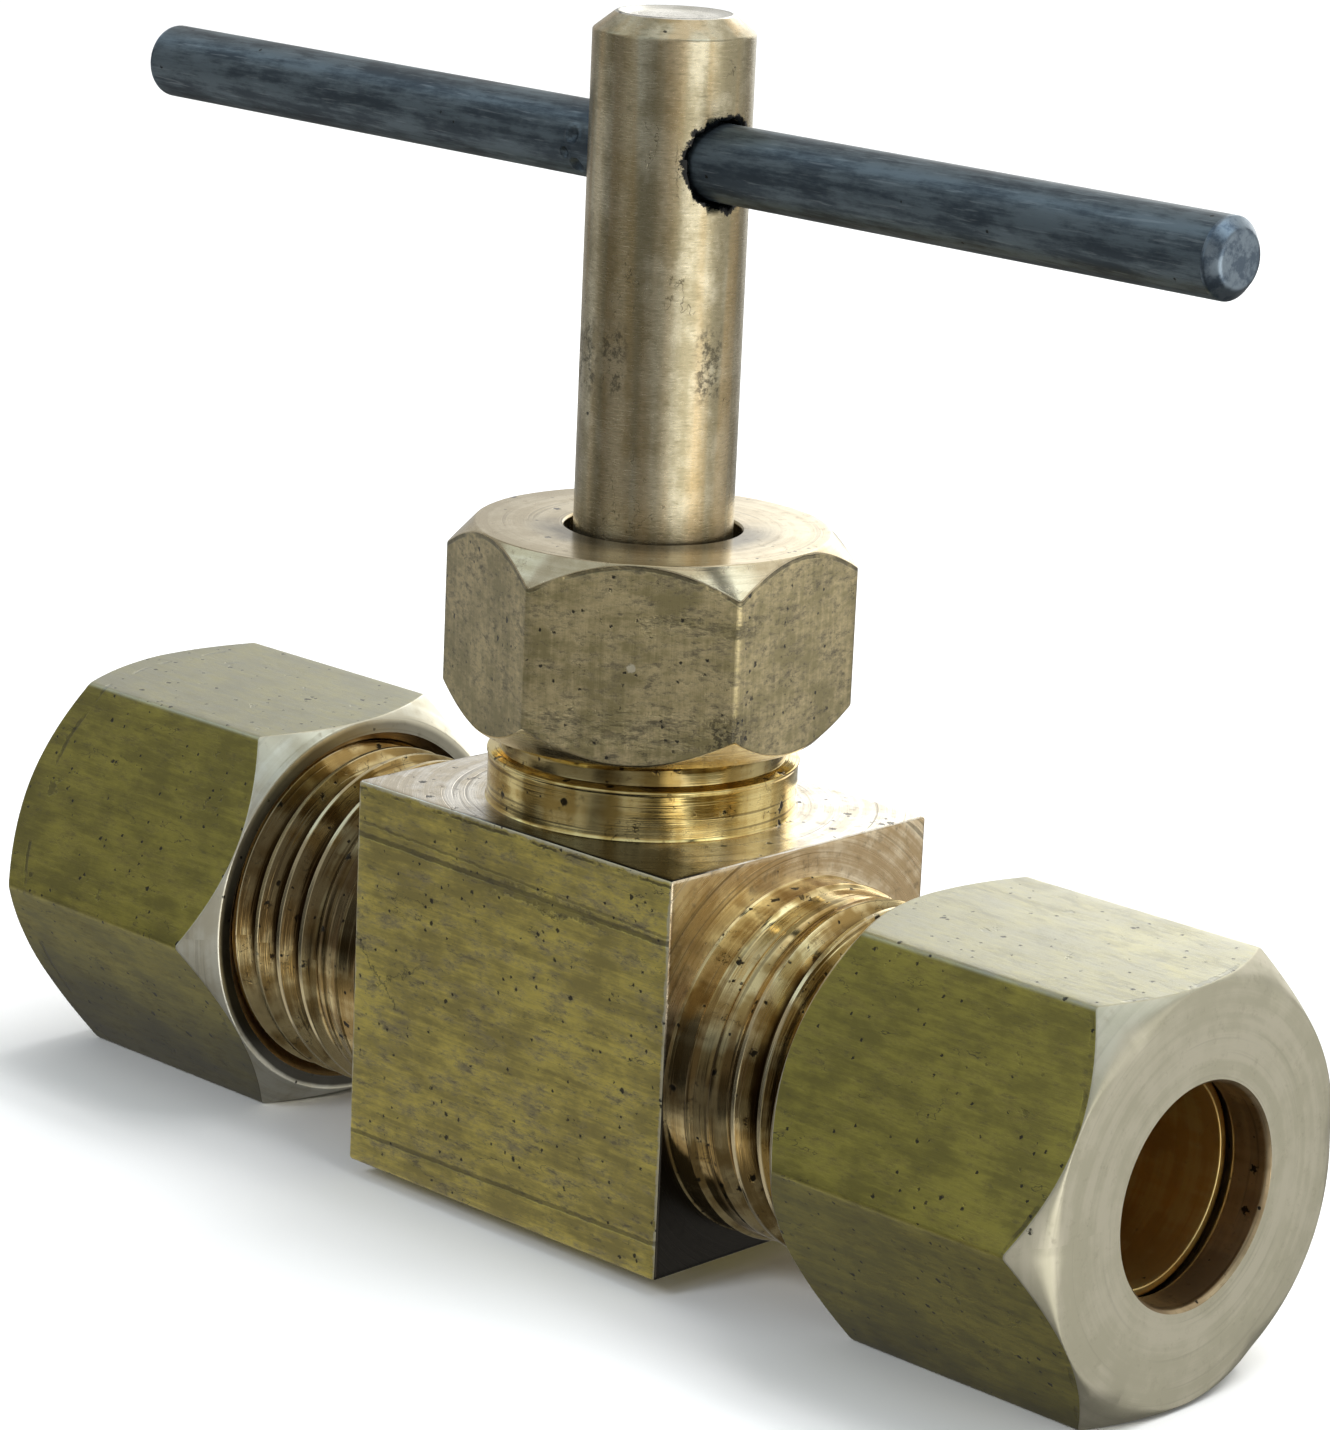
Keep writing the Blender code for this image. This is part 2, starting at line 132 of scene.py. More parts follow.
def rounded(points, cuts, closed=False, steps=4):
    """A profile with softened corners.

    Each corner c between runs a and b becomes (1-k)^2 p + 2k(1-k) c + k^2 q for k from 0 to 1, where p and q
    lie on the two runs at the cut distance from c, or at 0.45 of the run where that is shorter.
    """
    count = len(points)
    cuts = np.broadcast_to(cuts, count)
    rows = []
    for i in range(count):
        here = points[i]
        if not closed and i in (0, count - 1):
            rows.append(here)
            continue
        back, ahead = points[i - 1] - here, points[(i + 1) % count] - here
        back_length = np.linalg.norm(back, axis=-1, keepdims=True) + 1e-9
        ahead_length = np.linalg.norm(ahead, axis=-1, keepdims=True) + 1e-9
        cut = np.minimum(cuts[i], 0.45 * np.minimum(back_length, ahead_length))
        p, q = here + back / back_length * cut, here + ahead / ahead_length * cut
        rows += [(1 - k) ** 2 * p + 2 * k * (1 - k) * here + k * k * q for k in np.linspace(0, 1, steps + 1)]
    if closed:
        rows.append(rows[0])
    return np.array(rows)


def turned(profile, theta):
    """Points (r cos t, r sin t, s) for a profile of (s, r), which may differ from column to column."""
    profile = np.broadcast_to(profile, (len(profile), len(theta), 2))
    s, r = profile[..., 0], profile[..., 1]
    return np.stack([r * np.cos(theta), r * np.sin(theta), s], -1)


def circle_row(theta, s, radius, across=0.0, up=0.0):
    """One ring of points on a circle whose centre may lie off the axis."""
    flat = np.full_like(theta, s)
    return np.stack([across + radius * np.cos(theta), up + radius * np.sin(theta), flat], -1)


def round_angles(count=160):
    return np.linspace(0, TURN, count + 1)


def smooth(value, low, high):
    """0 below low, 1 above high, and 3t^2 - 2t^3 between them."""
    t = np.clip((value - low) / (high - low), 0, 1)
    return t * t * (3 - 2 * t)


# Places of the rows within one pitch: corners of the root, the flanks and the crest.
THREAD_ROWS = np.array([0.0, 0.04, 0.14, 0.29, 0.44, 0.5, 0.56, 0.71, 0.86, 0.96])


def thread_rise(share):
    """Height of the thread, 0 at the root and 1 at the crest, for a share of a pitch: a trapezium."""
    return np.clip((0.92 - 2 * np.abs(share - 0.5)) / 0.80, 0, 1)


def thread(theta, start, end, root, crest, start_radius, end_radius, fade=1.2):
    """Rows of a right-handed 60 degree thread between two heights.

    Row i lies at its own share of a pitch plus pitch * t / turn, held between start and end, so rows follow
    the helix. The radius rises from root to crest with distance from mid root, fades in from start_radius,
    and is capped by a 45 degree cone that ends at end_radius.
    """
    lead = PITCH * theta / TURN
    first = math.floor((start - lead[0]) / PITCH) - 1
    last = math.ceil((end - lead[0]) / PITCH) + 1
    heights = (np.arange(first, last)[:, None] + THREAD_ROWS).ravel() * PITCH
    s = np.clip(heights[:, None] + lead, start, end)
    share = np.mod((s - lead) / PITCH + 1e-9, 1)
    r = root + (crest - root) * thread_rise(share)
    r = start_radius + (r - start_radius) * smooth(s, start, start + fade * PITCH)
    if end_radius < root:
        r = np.minimum(r, end_radius + (end - s))
    else:
        r = np.maximum(r, end_radius - (end - s))
    return np.stack([s, r], -1)


def inner_thread(theta, start, end, root, crest, start_radius, end_radius):
    """The mating thread in a nut.

    It is the same helix a gap further out, with a 45 degree mouth at its start and a fade to end_radius over
    the last pitch.
    """
    rows = thread(theta, start, end, root, crest, root, 0, 1e-6)
    lead = PITCH * theta / TURN
    s = rows[..., 0]
    share = np.mod((s - lead) / PITCH + 1e-9, 1)
    r = root + THREAD_GAP + (crest - root) * thread_rise(share)
    r = np.maximum(r, start_radius - (s - start))
    return np.stack([s, end_radius + (r - end_radius) * smooth(end - s, 0, PITCH)], -1)


def to_run(points, side):
    """From local axes to the run axis: local Z becomes X, local X becomes Y, local Y becomes Z.

    The new X and Z are multiplied by side, 1 for the outlet and -1 for the inlet.
    """
    return np.stack([side * points[..., 2], points[..., 0], side * points[..., 1]], -1)


def join_patches(name, patches):
    """Joins grids of points into one closed, outward-facing mesh.

    A patch is (rows by columns by 3 points in millimetres, material). Neighbouring grids share their edge
    points, which the weld makes one, as it does the rows that fall together at poles and thread ends.
    """
    points, faces, marks = [], [], []
    materials = []
    base = 0
    for grid, material in patches:
        rows, columns = grid.shape[:2]
        index = base + np.arange(rows * columns).reshape(rows, columns)
        quads = np.stack([index[:-1, :-1], index[1:, :-1], index[1:, 1:], index[:-1, 1:]], -1).reshape(-1, 4)
        if material not in materials:
            materials.append(material)
        points.append(grid.reshape(-1, 3))
        faces.append(quads)
        marks.append(np.full(len(quads), materials.index(material)))
        base += rows * columns
    points = (np.concatenate(points) + (0, 0, RUN_HEIGHT)) * MM
    mesh = bpy.data.meshes.new(name)
    mesh.from_pydata(points.tolist(), [], np.concatenate(faces).tolist())
    mesh.polygons.foreach_set("material_index", np.concatenate(marks).astype(np.int32))
    bm = bmesh.new()
    bm.from_mesh(mesh)
    bmesh.ops.remove_doubles(bm, verts=bm.verts, dist=WELD)
    bmesh.ops.dissolve_degenerate(bm, edges=bm.edges, dist=WELD)
    bmesh.ops.recalc_face_normals(bm, faces=bm.faces)
    bm.to_mesh(mesh)
    bm.free()
    for material in materials:
        mesh.materials.append(material)
    mesh.shade_smooth()
    mesh.set_sharp_from_angle(angle=SHARP)
    return mesh


def place(name, mesh):
    piece = bpy.data.objects.new(name, mesh)
    bpy.context.scene.collection.objects.link(piece)
    return piece


def add_piece(name, patches, body, nodes):
    """Makes a piece that rides on a body and stands for CAD nodes."""
    piece = place(name, join_patches(name, patches))
    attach(piece, body)
    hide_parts(*nodes)
    return piece


# ---- Shader arithmetic ---------------------------------------------------------------------------
class Socket:
    """A shader output that adds Math nodes when it is used in an expression."""

    def __init__(self, finish, link):
        self.finish, self.link = finish, link

    def math(self, operation, *values):
        return self.finish.node("ShaderNodeMath", values, operation=operation)

    def __add__(self, other):
        return self.math("ADD", self, other)

    def __sub__(self, other):
        return self.math("SUBTRACT", self, other)

    def __rsub__(self, other):
        return self.math("SUBTRACT", other, self)

    def __mul__(self, other):
        return self.math("MULTIPLY", self, other)

    def __truediv__(self, other):
        return self.math("DIVIDE", self, other)

    __radd__ = __add__
    __rmul__ = __mul__


class Finish:
    """One material, made of nodes. Its point is the Object coordinate in millimetres from the two axes."""

    def __init__(self, name, tree=None):
        if tree is None:
            self.material = bpy.data.materials.new(name)
            self.material.use_nodes = True
            tree = self.material.node_tree
        self.tree = tree
        self.tree.nodes.clear()

    def node(self, kind, values=(), output=0, **settings):
        node = self.tree.nodes.new(kind)
        for key, setting in settings.items():
            setattr(node, key, setting)
        for key, value in (values.items() if isinstance(values, dict) else enumerate(values)):
            if isinstance(value, Socket):
                self.tree.links.new(value.link, node.inputs[key])
            else:
                node.inputs[key].default_value = value
        return Socket(self, node.outputs[output]) if node.outputs else None

    def point(self):
        place = self.node("ShaderNodeTexCoord", output="Object")
        scaled = self.vector("SCALE", {0: place, "Scale": 1 / MM})
        return self.vector("SUBTRACT", [scaled, (0, 0, RUN_HEIGHT)])

    def vector(self, operation, values):
        return self.node("ShaderNodeVectorMath", values, operation=operation)

    def split(self, vector):
        return [self.node("ShaderNodeSeparateXYZ", [vector], output=axis) for axis in range(3)]

    def join(self, x, y, z):
        return self.node("ShaderNodeCombineXYZ", [x, y, z])

    def stretch(self, vector, x, y, z):
        return self.vector("MULTIPLY", [vector, (x, y, z)])

    def noise(self, vector, scale, detail=3.0, roughness=0.55):
        return self.node("ShaderNodeTexNoise", {"Vector": vector, "Scale": scale, "Detail": detail,
                                                "Roughness": roughness})

    def step(self, value, low, high):
        return self.node("ShaderNodeMapRange", {"Value": value, "From Min": low, "From Max": high},
                         interpolation_type="SMOOTHSTEP")

    def mix(self, share, first, second):
        return self.node("ShaderNodeMix", {0: share, 6: first, 7: second}, output=2, data_type="RGBA")

    def bump(self, height, depth, strength=1.0):
        """depth is the height in millimetres of a full step from 0 to 1."""
        return self.node("ShaderNodeBump", {"Height": height, "Distance": depth * MM, "Strength": strength})

    def surface(self, colour, roughness, metallic, normal, **constants):
        values = {"Base Color": colour, "Roughness": roughness, "Metallic": metallic, "Normal": normal}
        values.update({key.replace("_", " "): value for key, value in constants.items()})
        shader = self.node("ShaderNodeBsdfPrincipled", values)
        self.node("ShaderNodeOutputMaterial", {"Surface": shader})
        return self.material


def polar(finish, axis):
    """Place along the axis, distance from it and angle round it, for the run (X) or the stem (Z)."""
    x, y, z = finish.split(finish.point())
    along, first, second = (x, y, z) if axis == "X" else (z, x, y)
    distance = (first * first + second * second).math("SQRT", first * first + second * second)
    angle = finish.node("ShaderNodeMath", [second, first], operation="ARCTAN2")
    return along, distance, angle


# ---- Finishes ------------------------------------------------------------------------------------
def rgb(red, green, blue):
    return (red, green, blue, 1.0)


BLACK = rgb(0.015, 0.013, 0.010)


def pits(f, vector, scale, size, share):
    """Sparse dark specks: the middle of a share of the cells, each as wide as size cells."""
    speck = f.node("ShaderNodeTexVoronoi", {"Vector": vector, "Scale": scale})
    chance = f.split(f.node("ShaderNodeTexVoronoi", {"Vector": vector, "Scale": scale}, output="Color"))[0]
    ragged = speck + (f.noise(vector, scale * 6, 2.0) - 0.5) * (2 * size)
    return (1 - f.step(ragged, size * 0.6, size)) * f.step(chance, 1 - share, 1.04 - share)


def hairs(f, vector, scale, share):
    """Short crooked hairlines: where one noise crosses its middle, kept only where a second noise is high."""
    crossing = f.noise(vector, scale, 4.0, 0.6) - 0.5
    line = 1 - f.step(crossing.math("ABSOLUTE", crossing), 0.002, 0.006)
    return line * f.step(f.noise(vector, scale * 0.8, 2.0, 0.4), 0.66 - share, 0.70 - share)


def near(f, value, place, width):
    """1 where the value is within width of the place, fading to 0 at twice that."""
    away = (value - place).math("ABSOLUTE", value - place)
    return 1 - f.step(away, width, width * 2)


def drawn_brass(name, axis, light, dark, tarnish, dirt=0.5, seed=0.0, marks=None, soil_and_shade=None, top_dust_and_sheen=0.0,
                lines=1.0):
    """Bar stock as drawn: olive gold, clouded with tarnish, with fine lines along the bar and small pits.

    top_dust_and_sheen is how far the face that looks up is painted pale and grey, part dust and part painted
    highlight; lines how strongly the drawing lines show.
    """
    f = Finish(name)
    point = f.vector("ADD", [f.point(), (seed, 2 * seed, -seed)])
    along = (0.05, 1, 1) if axis == "X" else (1, 1, 0.05)
    half = (0.35, 1, 1) if axis == "X" else (0.7, 0.7, 1.5)
    cloud = f.noise(point, 0.45, 5.0, 0.6)
    smear = f.noise(f.stretch(point, *half), 1.3, 8.0, 0.72)
    mottle = f.noise(f.stretch(point, *half), 3.6, 8.0, 0.75)
    streak = f.noise(f.stretch(point, *along), 4.5, 6.0, 0.75)
    fine = f.noise(f.stretch(point, *along), 14.0, 3.0, 0.6)
    speck = f.node("ShaderNodeMath", [pits(f, point, 1.3, 0.13, 0.4), pits(f, point, 3.1, 0.20, 0.25)],
                   operation="MAXIMUM")
    tone = f.step(cloud * 0.3 + streak * (0.45 * lines) + smear * (0.7 - 0.45 * lines), 0.42, 0.58)
    colour = f.mix(tone, dark, light)
    stain = f.step(mottle * 0.5 + smear * 0.5, 0.46, 0.63)
    colour = f.mix(stain * dirt, colour, tarnish)
    colour = f.mix(f.step(fine, 0.54, 0.68) * (0.45 * lines), colour, dark)
    grain = f.noise(f.stretch(point, *half), 9.0, 4.0, 0.8)
    colour = f.mix(f.step(grain * 0.5 + mottle * 0.5, 0.53, 0.62) * dirt * 0.6, colour, rgb(0.09, 0.08, 0.05))
    colour = f.mix(f.step(1 - streak, 0.60, 0.70) * (0.3 * lines), colour, light)
    hair = hairs(f, f.stretch(point, *half), 1.1, 0.06)
    colour = f.mix(hair * 0.75, colour, rgb(0.07, 0.06, 0.03))
    height = streak * (0.9 * lines) + fine * (0.3 * lines) - speck * 1.5 - stain * 0.4 + mottle * 0.5
    rough = 0.34 + stain * 0.18 + streak * 0.06
    if marks:
        worn, cut = marks(f)
        colour = f.mix(worn * 0.75, colour, rgb(0.86, 0.80, 0.62))
        colour = f.mix(cut * 0.8, colour, rgb(0.07, 0.06, 0.03))
        height = height - cut * 3.0
    # Painted shade on the nuts: the flats go near black towards the bottom.
    if soil_and_shade:
        colour = f.mix(soil_and_shade(f), colour, rgb(0.011, 0.009, 0.006))
    # Painted highlight mixed with dust: the flat that looks up goes pale and grey.
    if top_dust_and_sheen:
        x, y, z = f.split(f.point())
        upward = z * math.cos(NUT_CLOCK) - y * math.sin(NUT_CLOCK)
        colour = f.mix(f.step(upward, 6.2, 6.33) * (0.25 + mottle) * top_dust_and_sheen, colour, rgb(0.66, 0.68, 0.62))
    colour = f.mix(speck * 0.9, colour, BLACK)
    return f.surface(colour, rough, 0.95, f.bump(height, 0.014), Coat_Weight=0.8, Coat_IOR=1.5,
                     Coat_Roughness=0.32)


def block_marks(f):
    """Worn burrs along the block's edges, and the grooves and hair scratches left in its drawn skin."""
    x, y, z = f.split(f.point())
    waver = f.noise(f.point(), 2.2, 5.0, 0.75) - 0.5
    side = (BLOCK_FACE - x).math("MINIMUM", BLOCK_FACE - x, x + BLOCK_FACE)
    rim = side.math("MINIMUM", side, (BLOCK_TOP - z) * 0.8)
    worn = 1 - f.step(rim + waver * 0.28, 0.05, 0.13)
    broken = f.step(f.noise(f.point(), 1.1, 3.0), 0.44, 0.56)
    dirt_line = near(f, BLOCK_TOP - z + waver * 0.22, 0.22, 0.03) * broken
    groove = near(f, z + x * 0.02 + waver * 0.16, 4.72, 0.06)
    twin = near(f, z + x * 0.035 + waver * 0.2, 5.02, 0.03)
    gravel = near(f, z + x * 0.02 + waver * 1.1, 4.66, 0.16) * near(f, x, 1.6, 1.6)
    low_groove = near(f, z - x * 0.012 + waver * 0.12, -4.86, 0.05)
    scratch = near(f, z + x * 0.95 + waver * 1.3, -4.9, 0.03) * (1 - f.step(x, -4.9, -4.6))
    fork = near(f, z - x * 0.5 + waver * 1.2, 3.0, 0.025) * near(f, x, -4.9, 0.8)
    cut = groove * 0.8
    others = ((twin, 0.45), (gravel, 0.6), (low_groove, 0.7), (scratch, 0.8), (fork, 0.7), (dirt_line, 0.9))
    for mark, depth in others:
        cut = cut.math("MAXIMUM", cut, mark * depth)
    return worn, cut


def nut_marks(f):
    """A dark broken line along the chamfer arcs at the nut's outer end, with a smudge or two beside it."""
    along, distance, angle = polar(f, "X")
    waver = f.noise(f.point(), 1.6, 5.0, 0.7) - 0.5
    reach = along.math("ABSOLUTE", along) + distance + waver * 0.25
    rim = near(f, reach, NUT_END + 6.33 - 0.14, 0.05) * f.step(f.noise(f.point(), 0.6, 4.0), 0.46, 0.58)
    smudge = f.step(f.noise(f.point(), 0.9, 5.0, 0.6), 0.66, 0.70)
    return 0.0, rim * 0.7 + smudge * 0.5 * (1 - rim)


def packing_nut_marks(f):
    """A bright nick amid the front flat, pits eaten into the corner beside it, long smears and a dark rim."""
    x, y, z = f.split(f.point())
    waver = f.noise(f.point(), 2.0, 5.0, 0.75) - 0.5
    away = f.node("ShaderNodeVectorMath", [f.point(), NICK_PLACE], output="Value", operation="DISTANCE")
    nick = 1 - f.step(away + waver * 0.35, 0.10, 0.17)
    front = f.step(x - y, 6.4, 7.0)
    eaten = f.step(f.noise(f.point(), 4.5, 3.0, 0.8), 0.50, 0.56)
    corner = near(f, y, -2.28, 0.35) * near(f, z, 9.9, 0.5) * eaten
    smears = near(f, z + waver * 1.2, 10.2, 0.35) + near(f, z + waver * 0.9, 13.4, 0.18) * f.step(x, 3.4, 4.2)
    broken = smears * f.step(f.noise(f.stretch(f.point(), 1, 1, 3), 1.6, 6.0, 0.75), 0.46, 0.62)
    distance = (x * x + y * y).math("SQRT", x * x + y * y)
    rim = near(f, z + (distance - 5.47) * 1.08 + waver * 0.1, PACKING_NUT_TOP - 0.09, 0.04)
    rim = rim * f.step(f.noise(f.point(), 0.8, 4.0), 0.40, 0.56)
    cut = corner.math("MAXIMUM", corner, broken * front * 0.5)
    return nick, cut.math("MAXIMUM", cut, rim * 0.8)


def faced_brass(name, axis, light, dark, rough=0.2, ring=0.006, grime=0.4, soil_and_shade=None):
    """A face turned across its axis: rings of tool marks, faint arcs of colour, and specks in the rings."""
    f = Finish(name)
    along, distance, angle = polar(f, axis)
    rings = f.join(distance, along * 0.3, angle * 0.10)
    fine = f.noise(rings, 11.0, 4.0, 0.75)
    broad = f.noise(rings, 2.6, 4.0, 0.6)
    cloud = f.noise(f.point(), 0.7, 5.0, 0.6)
    speck = f.node("ShaderNodeMath", [pits(f, f.point(), 2.4, 0.16, grime * 0.5),
                                      pits(f, f.point(), 1.5, 0.22, grime * 0.5)], operation="MAXIMUM")
    grit = f.step(f.noise(f.point(), 2.4, 8.0, 0.75), 0.53, 0.68)
    cut = f.step(f.noise(rings, 5.5, 2.0, 0.5), 0.60, 0.68)
    colour = f.mix(f.step(broad * 0.5 + cloud * 0.5, 0.42, 0.58), dark, light)
    colour = f.mix(f.step(fine, 0.55, 0.72) * 0.4, colour, dark)
    colour = f.mix(cut * grime * 0.7, colour, rgb(0.10, 0.08, 0.05))
    colour = f.mix(grit * grime * 0.6, colour, rgb(0.14, 0.11, 0.075))
    # soil_and_shade paints near black: old oil on some faces, painted shade or a painted dark reflection on
    # others.
    if soil_and_shade:
        colour = f.mix(soil_and_shade(f), colour, rgb(0.011, 0.009, 0.006))
    colour = f.mix(speck * 0.9, colour, BLACK)
    height = fine * 0.8 + broad * 0.8 - speck * 1.2 - cut * 0.6
    return f.surface(colour, rough + grit * 0.16 + fine * 0.08, 0.95, f.bump(height, ring),
                     Coat_Weight=0.12, Coat_Roughness=0.2)


def under_shade(f):
    """Painted shade: darkening of a nut's flats towards the bottom."""
    x, y, z = f.split(f.point())
    return f.step((f.noise(f.point(), 0.3, 3.0) - 0.5) * 4 - z - x * 0.06, 2.6, 7.0) * 0.75


def stem_top_soil(f):
    """A thin dark ring round the stem's dished top."""
    x, y, z = f.split(f.point())
    distance = (x * x + y * y).math("SQRT", x * x + y * y) + (f.noise(f.point(), 2.5, 4.0, 0.7) - 0.5) * 0.12
    return near(f, distance, 1.72, 0.03) * 0.5


def mouth_shade(f):
    """Painted shade on the narrow face round the inlet nut's threaded mouth, in the gap towards the block,
    darker towards the bottom.
    """
    along, distance, angle = polar(f, "X")
    x, y, z = f.split(f.point())
    patch = f.noise(f.point(), 0.5, 4.0) - 0.5
    low = 0.55 + 0.4 * f.step(patch * 3 - z, -3.5, 0.5)
    return (1 - f.step(distance + patch * 0.15, 6.12, 6.30)) * (1 - f.step(x, -1, 1)) * low


def roof_soil(f):
    """Dark oil round the stem on the packing nut's roof, mostly at the front."""
    x, y, z = f.split(f.point())
    distance = (x * x + y * y).math("SQRT", x * x + y * y)
    patch = f.noise(f.point(), 0.8, 5.0, 0.65) - 0.5
    ring = 1 - f.step(distance + patch * 1.2, 3.1, 4.3)
    return ring * f.step(x - y + patch * 4, -2.0, 2.0) * 0.75


def side_shade_and_oil(f):
    """Painted shade low on the faced sides beside the nuts, with old oil in patches: thickest low down and in
    patches up towards the run axis.
    """
    x, y, z = f.split(f.point())
    patch = f.noise(f.point(), 0.55, 6.0, 0.65) - 0.5
    return f.step(patch * 8 - z - (y + 1) * 1.1, 0.0, 5.0) * 0.995


def boss_reflection_band(f):
    """Painted dark brown reflection on the tube bosses in a broad band, higher and broader on the inlet one.
    """
    x, y, z = f.split(f.point())
    patch = f.noise(f.stretch(f.point(), 0.4, 1, 1), 0.6, 4.0, 0.5) - 0.5
    inlet = 1 - f.step(x, -1, 1)
    height = z + patch * 2.0 - inlet * 1.3
    return near(f, height, 0.9, 0.95) * 0.72 * (1 - inlet) + near(f, height, 1.1, 1.5) * 0.8 * inlet


def top_neck_reflection(f):
    """Painted dark reflection of the neck on the faced top: a ring of it round the neck, mostly at the front.
    """
    x, y, z = f.split(f.point())
    patch = f.noise(f.point(), 0.8, 6.0, 0.7) - 0.5
    return f.step(patch * 3 - y - x * 0.2, 1.6, 3.2) * f.step(x + patch * 3, -3.2, -0.4) * 0.99


def turned_brass(name, axis, light, dark, rough=0.08, ring=0.005, grime=0.5, threads=None, soil_and_shade=None):
    """A diameter turned on the lathe: bright amber metal with lines round it, painted shade in the thread
    roots and groove, and a painted highlight on the thread crests.
    """
    f = Finish(name)
    along, distance, angle = polar(f, axis)
    rings = f.join(along, distance * 0.8, angle * 0.1)
    fine = f.noise(rings, 15.0, 3.0, 0.65)
    broad = f.noise(rings, 2.6, 3.0, 0.5)
    cloud = f.noise(f.stretch(f.point(), *((0.15, 1, 1) if axis == "X" else (1, 1, 0.15))), 0.9, 3.0, 0.5)
    speck = f.node("ShaderNodeMath", [pits(f, f.point(), 1.5, 0.22, grime * 0.5),
                                      pits(f, f.point(), 2.6, 0.17, grime * 0.4)], operation="MAXIMUM")
    grit = f.step(f.noise(f.point(), 3.0, 9.0, 0.8), 0.56, 0.62)
    hair = f.step(f.noise(rings, 7.0, 2.0, 0.5), 0.60, 0.68)
    colour = f.mix(f.step(broad * 0.4 + cloud * 0.6, 0.43, 0.57), dark, light)
    colour = f.mix(grit * grime * 0.5, colour, rgb(0.10, 0.055, 0.018))
    colour = f.mix(hair * grime * 0.6, colour, rgb(0.07, 0.04, 0.015))
    # soil_and_shade paints a dark brown band: on the bosses it is a painted dark reflection.
    if soil_and_shade:
        colour = f.mix(soil_and_shade(f), colour, rgb(0.045, 0.025, 0.010))
    colour = f.mix(hairs(f, f.point(), 0.9, 0.1) * grime, colour, BLACK)
    colour = f.mix(speck * 0.95, colour, BLACK)
    # Painted shade darkens the thread roots and the neck's groove; tip is a painted highlight on the crests.
    if threads:
        root, crest, first = threads
        cut = f.step(along.math("ABSOLUTE", along), first, first + 0.1)
        root_shade = 1 - f.step(distance, root, (root + crest) / 2)
        colour = f.mix(root_shade * cut * 0.9, colour, rgb(0.06, 0.032, 0.012))
        tip = f.step(distance, crest - 0.035, crest - 0.01)
        colour = f.mix(tip * cut * 0.6, colour, rgb(0.92, 0.80, 0.52))
    height = fine * 0.9 + broad * 0.2 - speck - hair * 0.5
    return f.surface(colour, rough + grit * 0.12 + fine * 0.05, 0.98, f.bump(height, ring))


def stem_brass(name):
    """The stem: satin khaki brass with fine lines round it, faint long bands and two scuffed patches."""
    f = Finish(name)
    along, distance, angle = polar(f, "Z")
    point = f.point()
    x, y, z = f.split(point)
    rings = f.join(along, distance * 0.5, angle * 0.5)
    fine = f.noise(rings, 13.0, 5.0, 0.8)
    band = f.noise(f.stretch(point, 1, 1, 0.05), 1.1, 3.0, 0.5)
    cloud = f.noise(point, 0.7, 6.0, 0.65)
    speck = pits(f, point, 1.5, 0.10, 0.22)
    tall = f.step(along, 19.2, 19.9) * f.step(22.0 - along, 0.0, 0.7)
    patches = near(f, x + y * 0.2, -1.5, 0.45) + near(f, x - y, 2.75, 0.25)
    scuff = tall * patches * f.step(f.noise(point, 3.4, 8.0, 0.8), 0.46, 0.58)
    hair = hairs(f, f.stretch(point, 1, 1, 0.6), 0.9, 0.06)
    colour = f.mix(f.step(cloud * 0.5 + band * 0.5, 0.42, 0.58), rgb(0.36, 0.31, 0.19), rgb(0.64, 0.58, 0.42))
    tint = f.step(f.noise(f.stretch(point, 0.8, 0.8, 0.03), 1.3, 2.0, 0.5), 0.44, 0.62)
    colour = f.mix(tint * 0.45, colour, rgb(0.52, 0.34, 0.13))
    colour = f.mix(f.step(fine, 0.50, 0.68) * 0.6, colour, rgb(0.19, 0.165, 0.09))
    colour = f.mix(f.step(1 - fine, 0.56, 0.70) * 0.30, colour, rgb(0.80, 0.74, 0.56))
    colour = f.mix(scuff * 0.75, colour, rgb(0.08, 0.07, 0.045))
    colour = f.mix(hair * 0.7, colour, rgb(0.10, 0.08, 0.04))
    colour = f.mix(speck * 0.9, colour, BLACK)
    # Near black round the bar's hole: soot, and painted shade of the gap round the bar.
    colour = f.mix(bar_soot_and_shade(f), colour, rgb(0.008, 0.008, 0.008))
    height = fine * 1.1 - speck - scuff * 0.3 - hair
    return f.surface(colour, 0.23 + fine * 0.1 + scuff * 0.25, 0.95, f.bump(height, 0.007),
                     Coat_Weight=0.3, Coat_Roughness=0.25)


def bar_soot_and_shade(f):
    """Soot and painted shade of the gap round the tee bar: high close round the bar's hole, with a ragged
    edge.
    """
    x, y, z = f.split(f.point())
    side = y * math.cos(BAR_TURN) - x * math.sin(BAR_TURN)
    lift = z - BAR_HEIGHT
    reach = (side * side + lift * lift).math("SQRT", side * side + lift * lift)
    ragged = reach - (f.noise(f.point(), 2.6, 4.0, 0.8) - 0.5) * 0.9
    return 1 - f.step(ragged, 1.42, 1.50)


def bar_steel(name):
    """Dark drawn steel: blue grey, with streaks along the bar, dull patches and pale scratches."""
    f = Finish(name)
    point = f.point()
    lines = f.stretch(point, 0.07, 1, 1)
    streak = f.noise(lines, 3.0, 7.0, 0.75)
    cloud = f.noise(f.stretch(point, 0.4, 1, 1), 1.0, 7.0, 0.7)
    scratch = f.step(f.noise(lines, 9.0, 2.0, 0.5), 0.62, 0.7)
    speck = pits(f, point, 1.8, 0.12, 0.25)
    tone = f.step(streak * 0.5 + cloud * 0.5, 0.42, 0.58)
    colour = f.mix(tone, rgb(0.065, 0.085, 0.105), rgb(0.17, 0.215, 0.245))
    colour = f.mix(scratch * 0.3, colour, rgb(0.36, 0.41, 0.44))
    colour = f.mix(speck * 0.8, colour, BLACK)
    height = streak * 0.6 + cloud * 0.3 - speck
    return f.surface(colour, 0.36 + cloud * 0.14, 0.9, f.bump(height, 0.010))


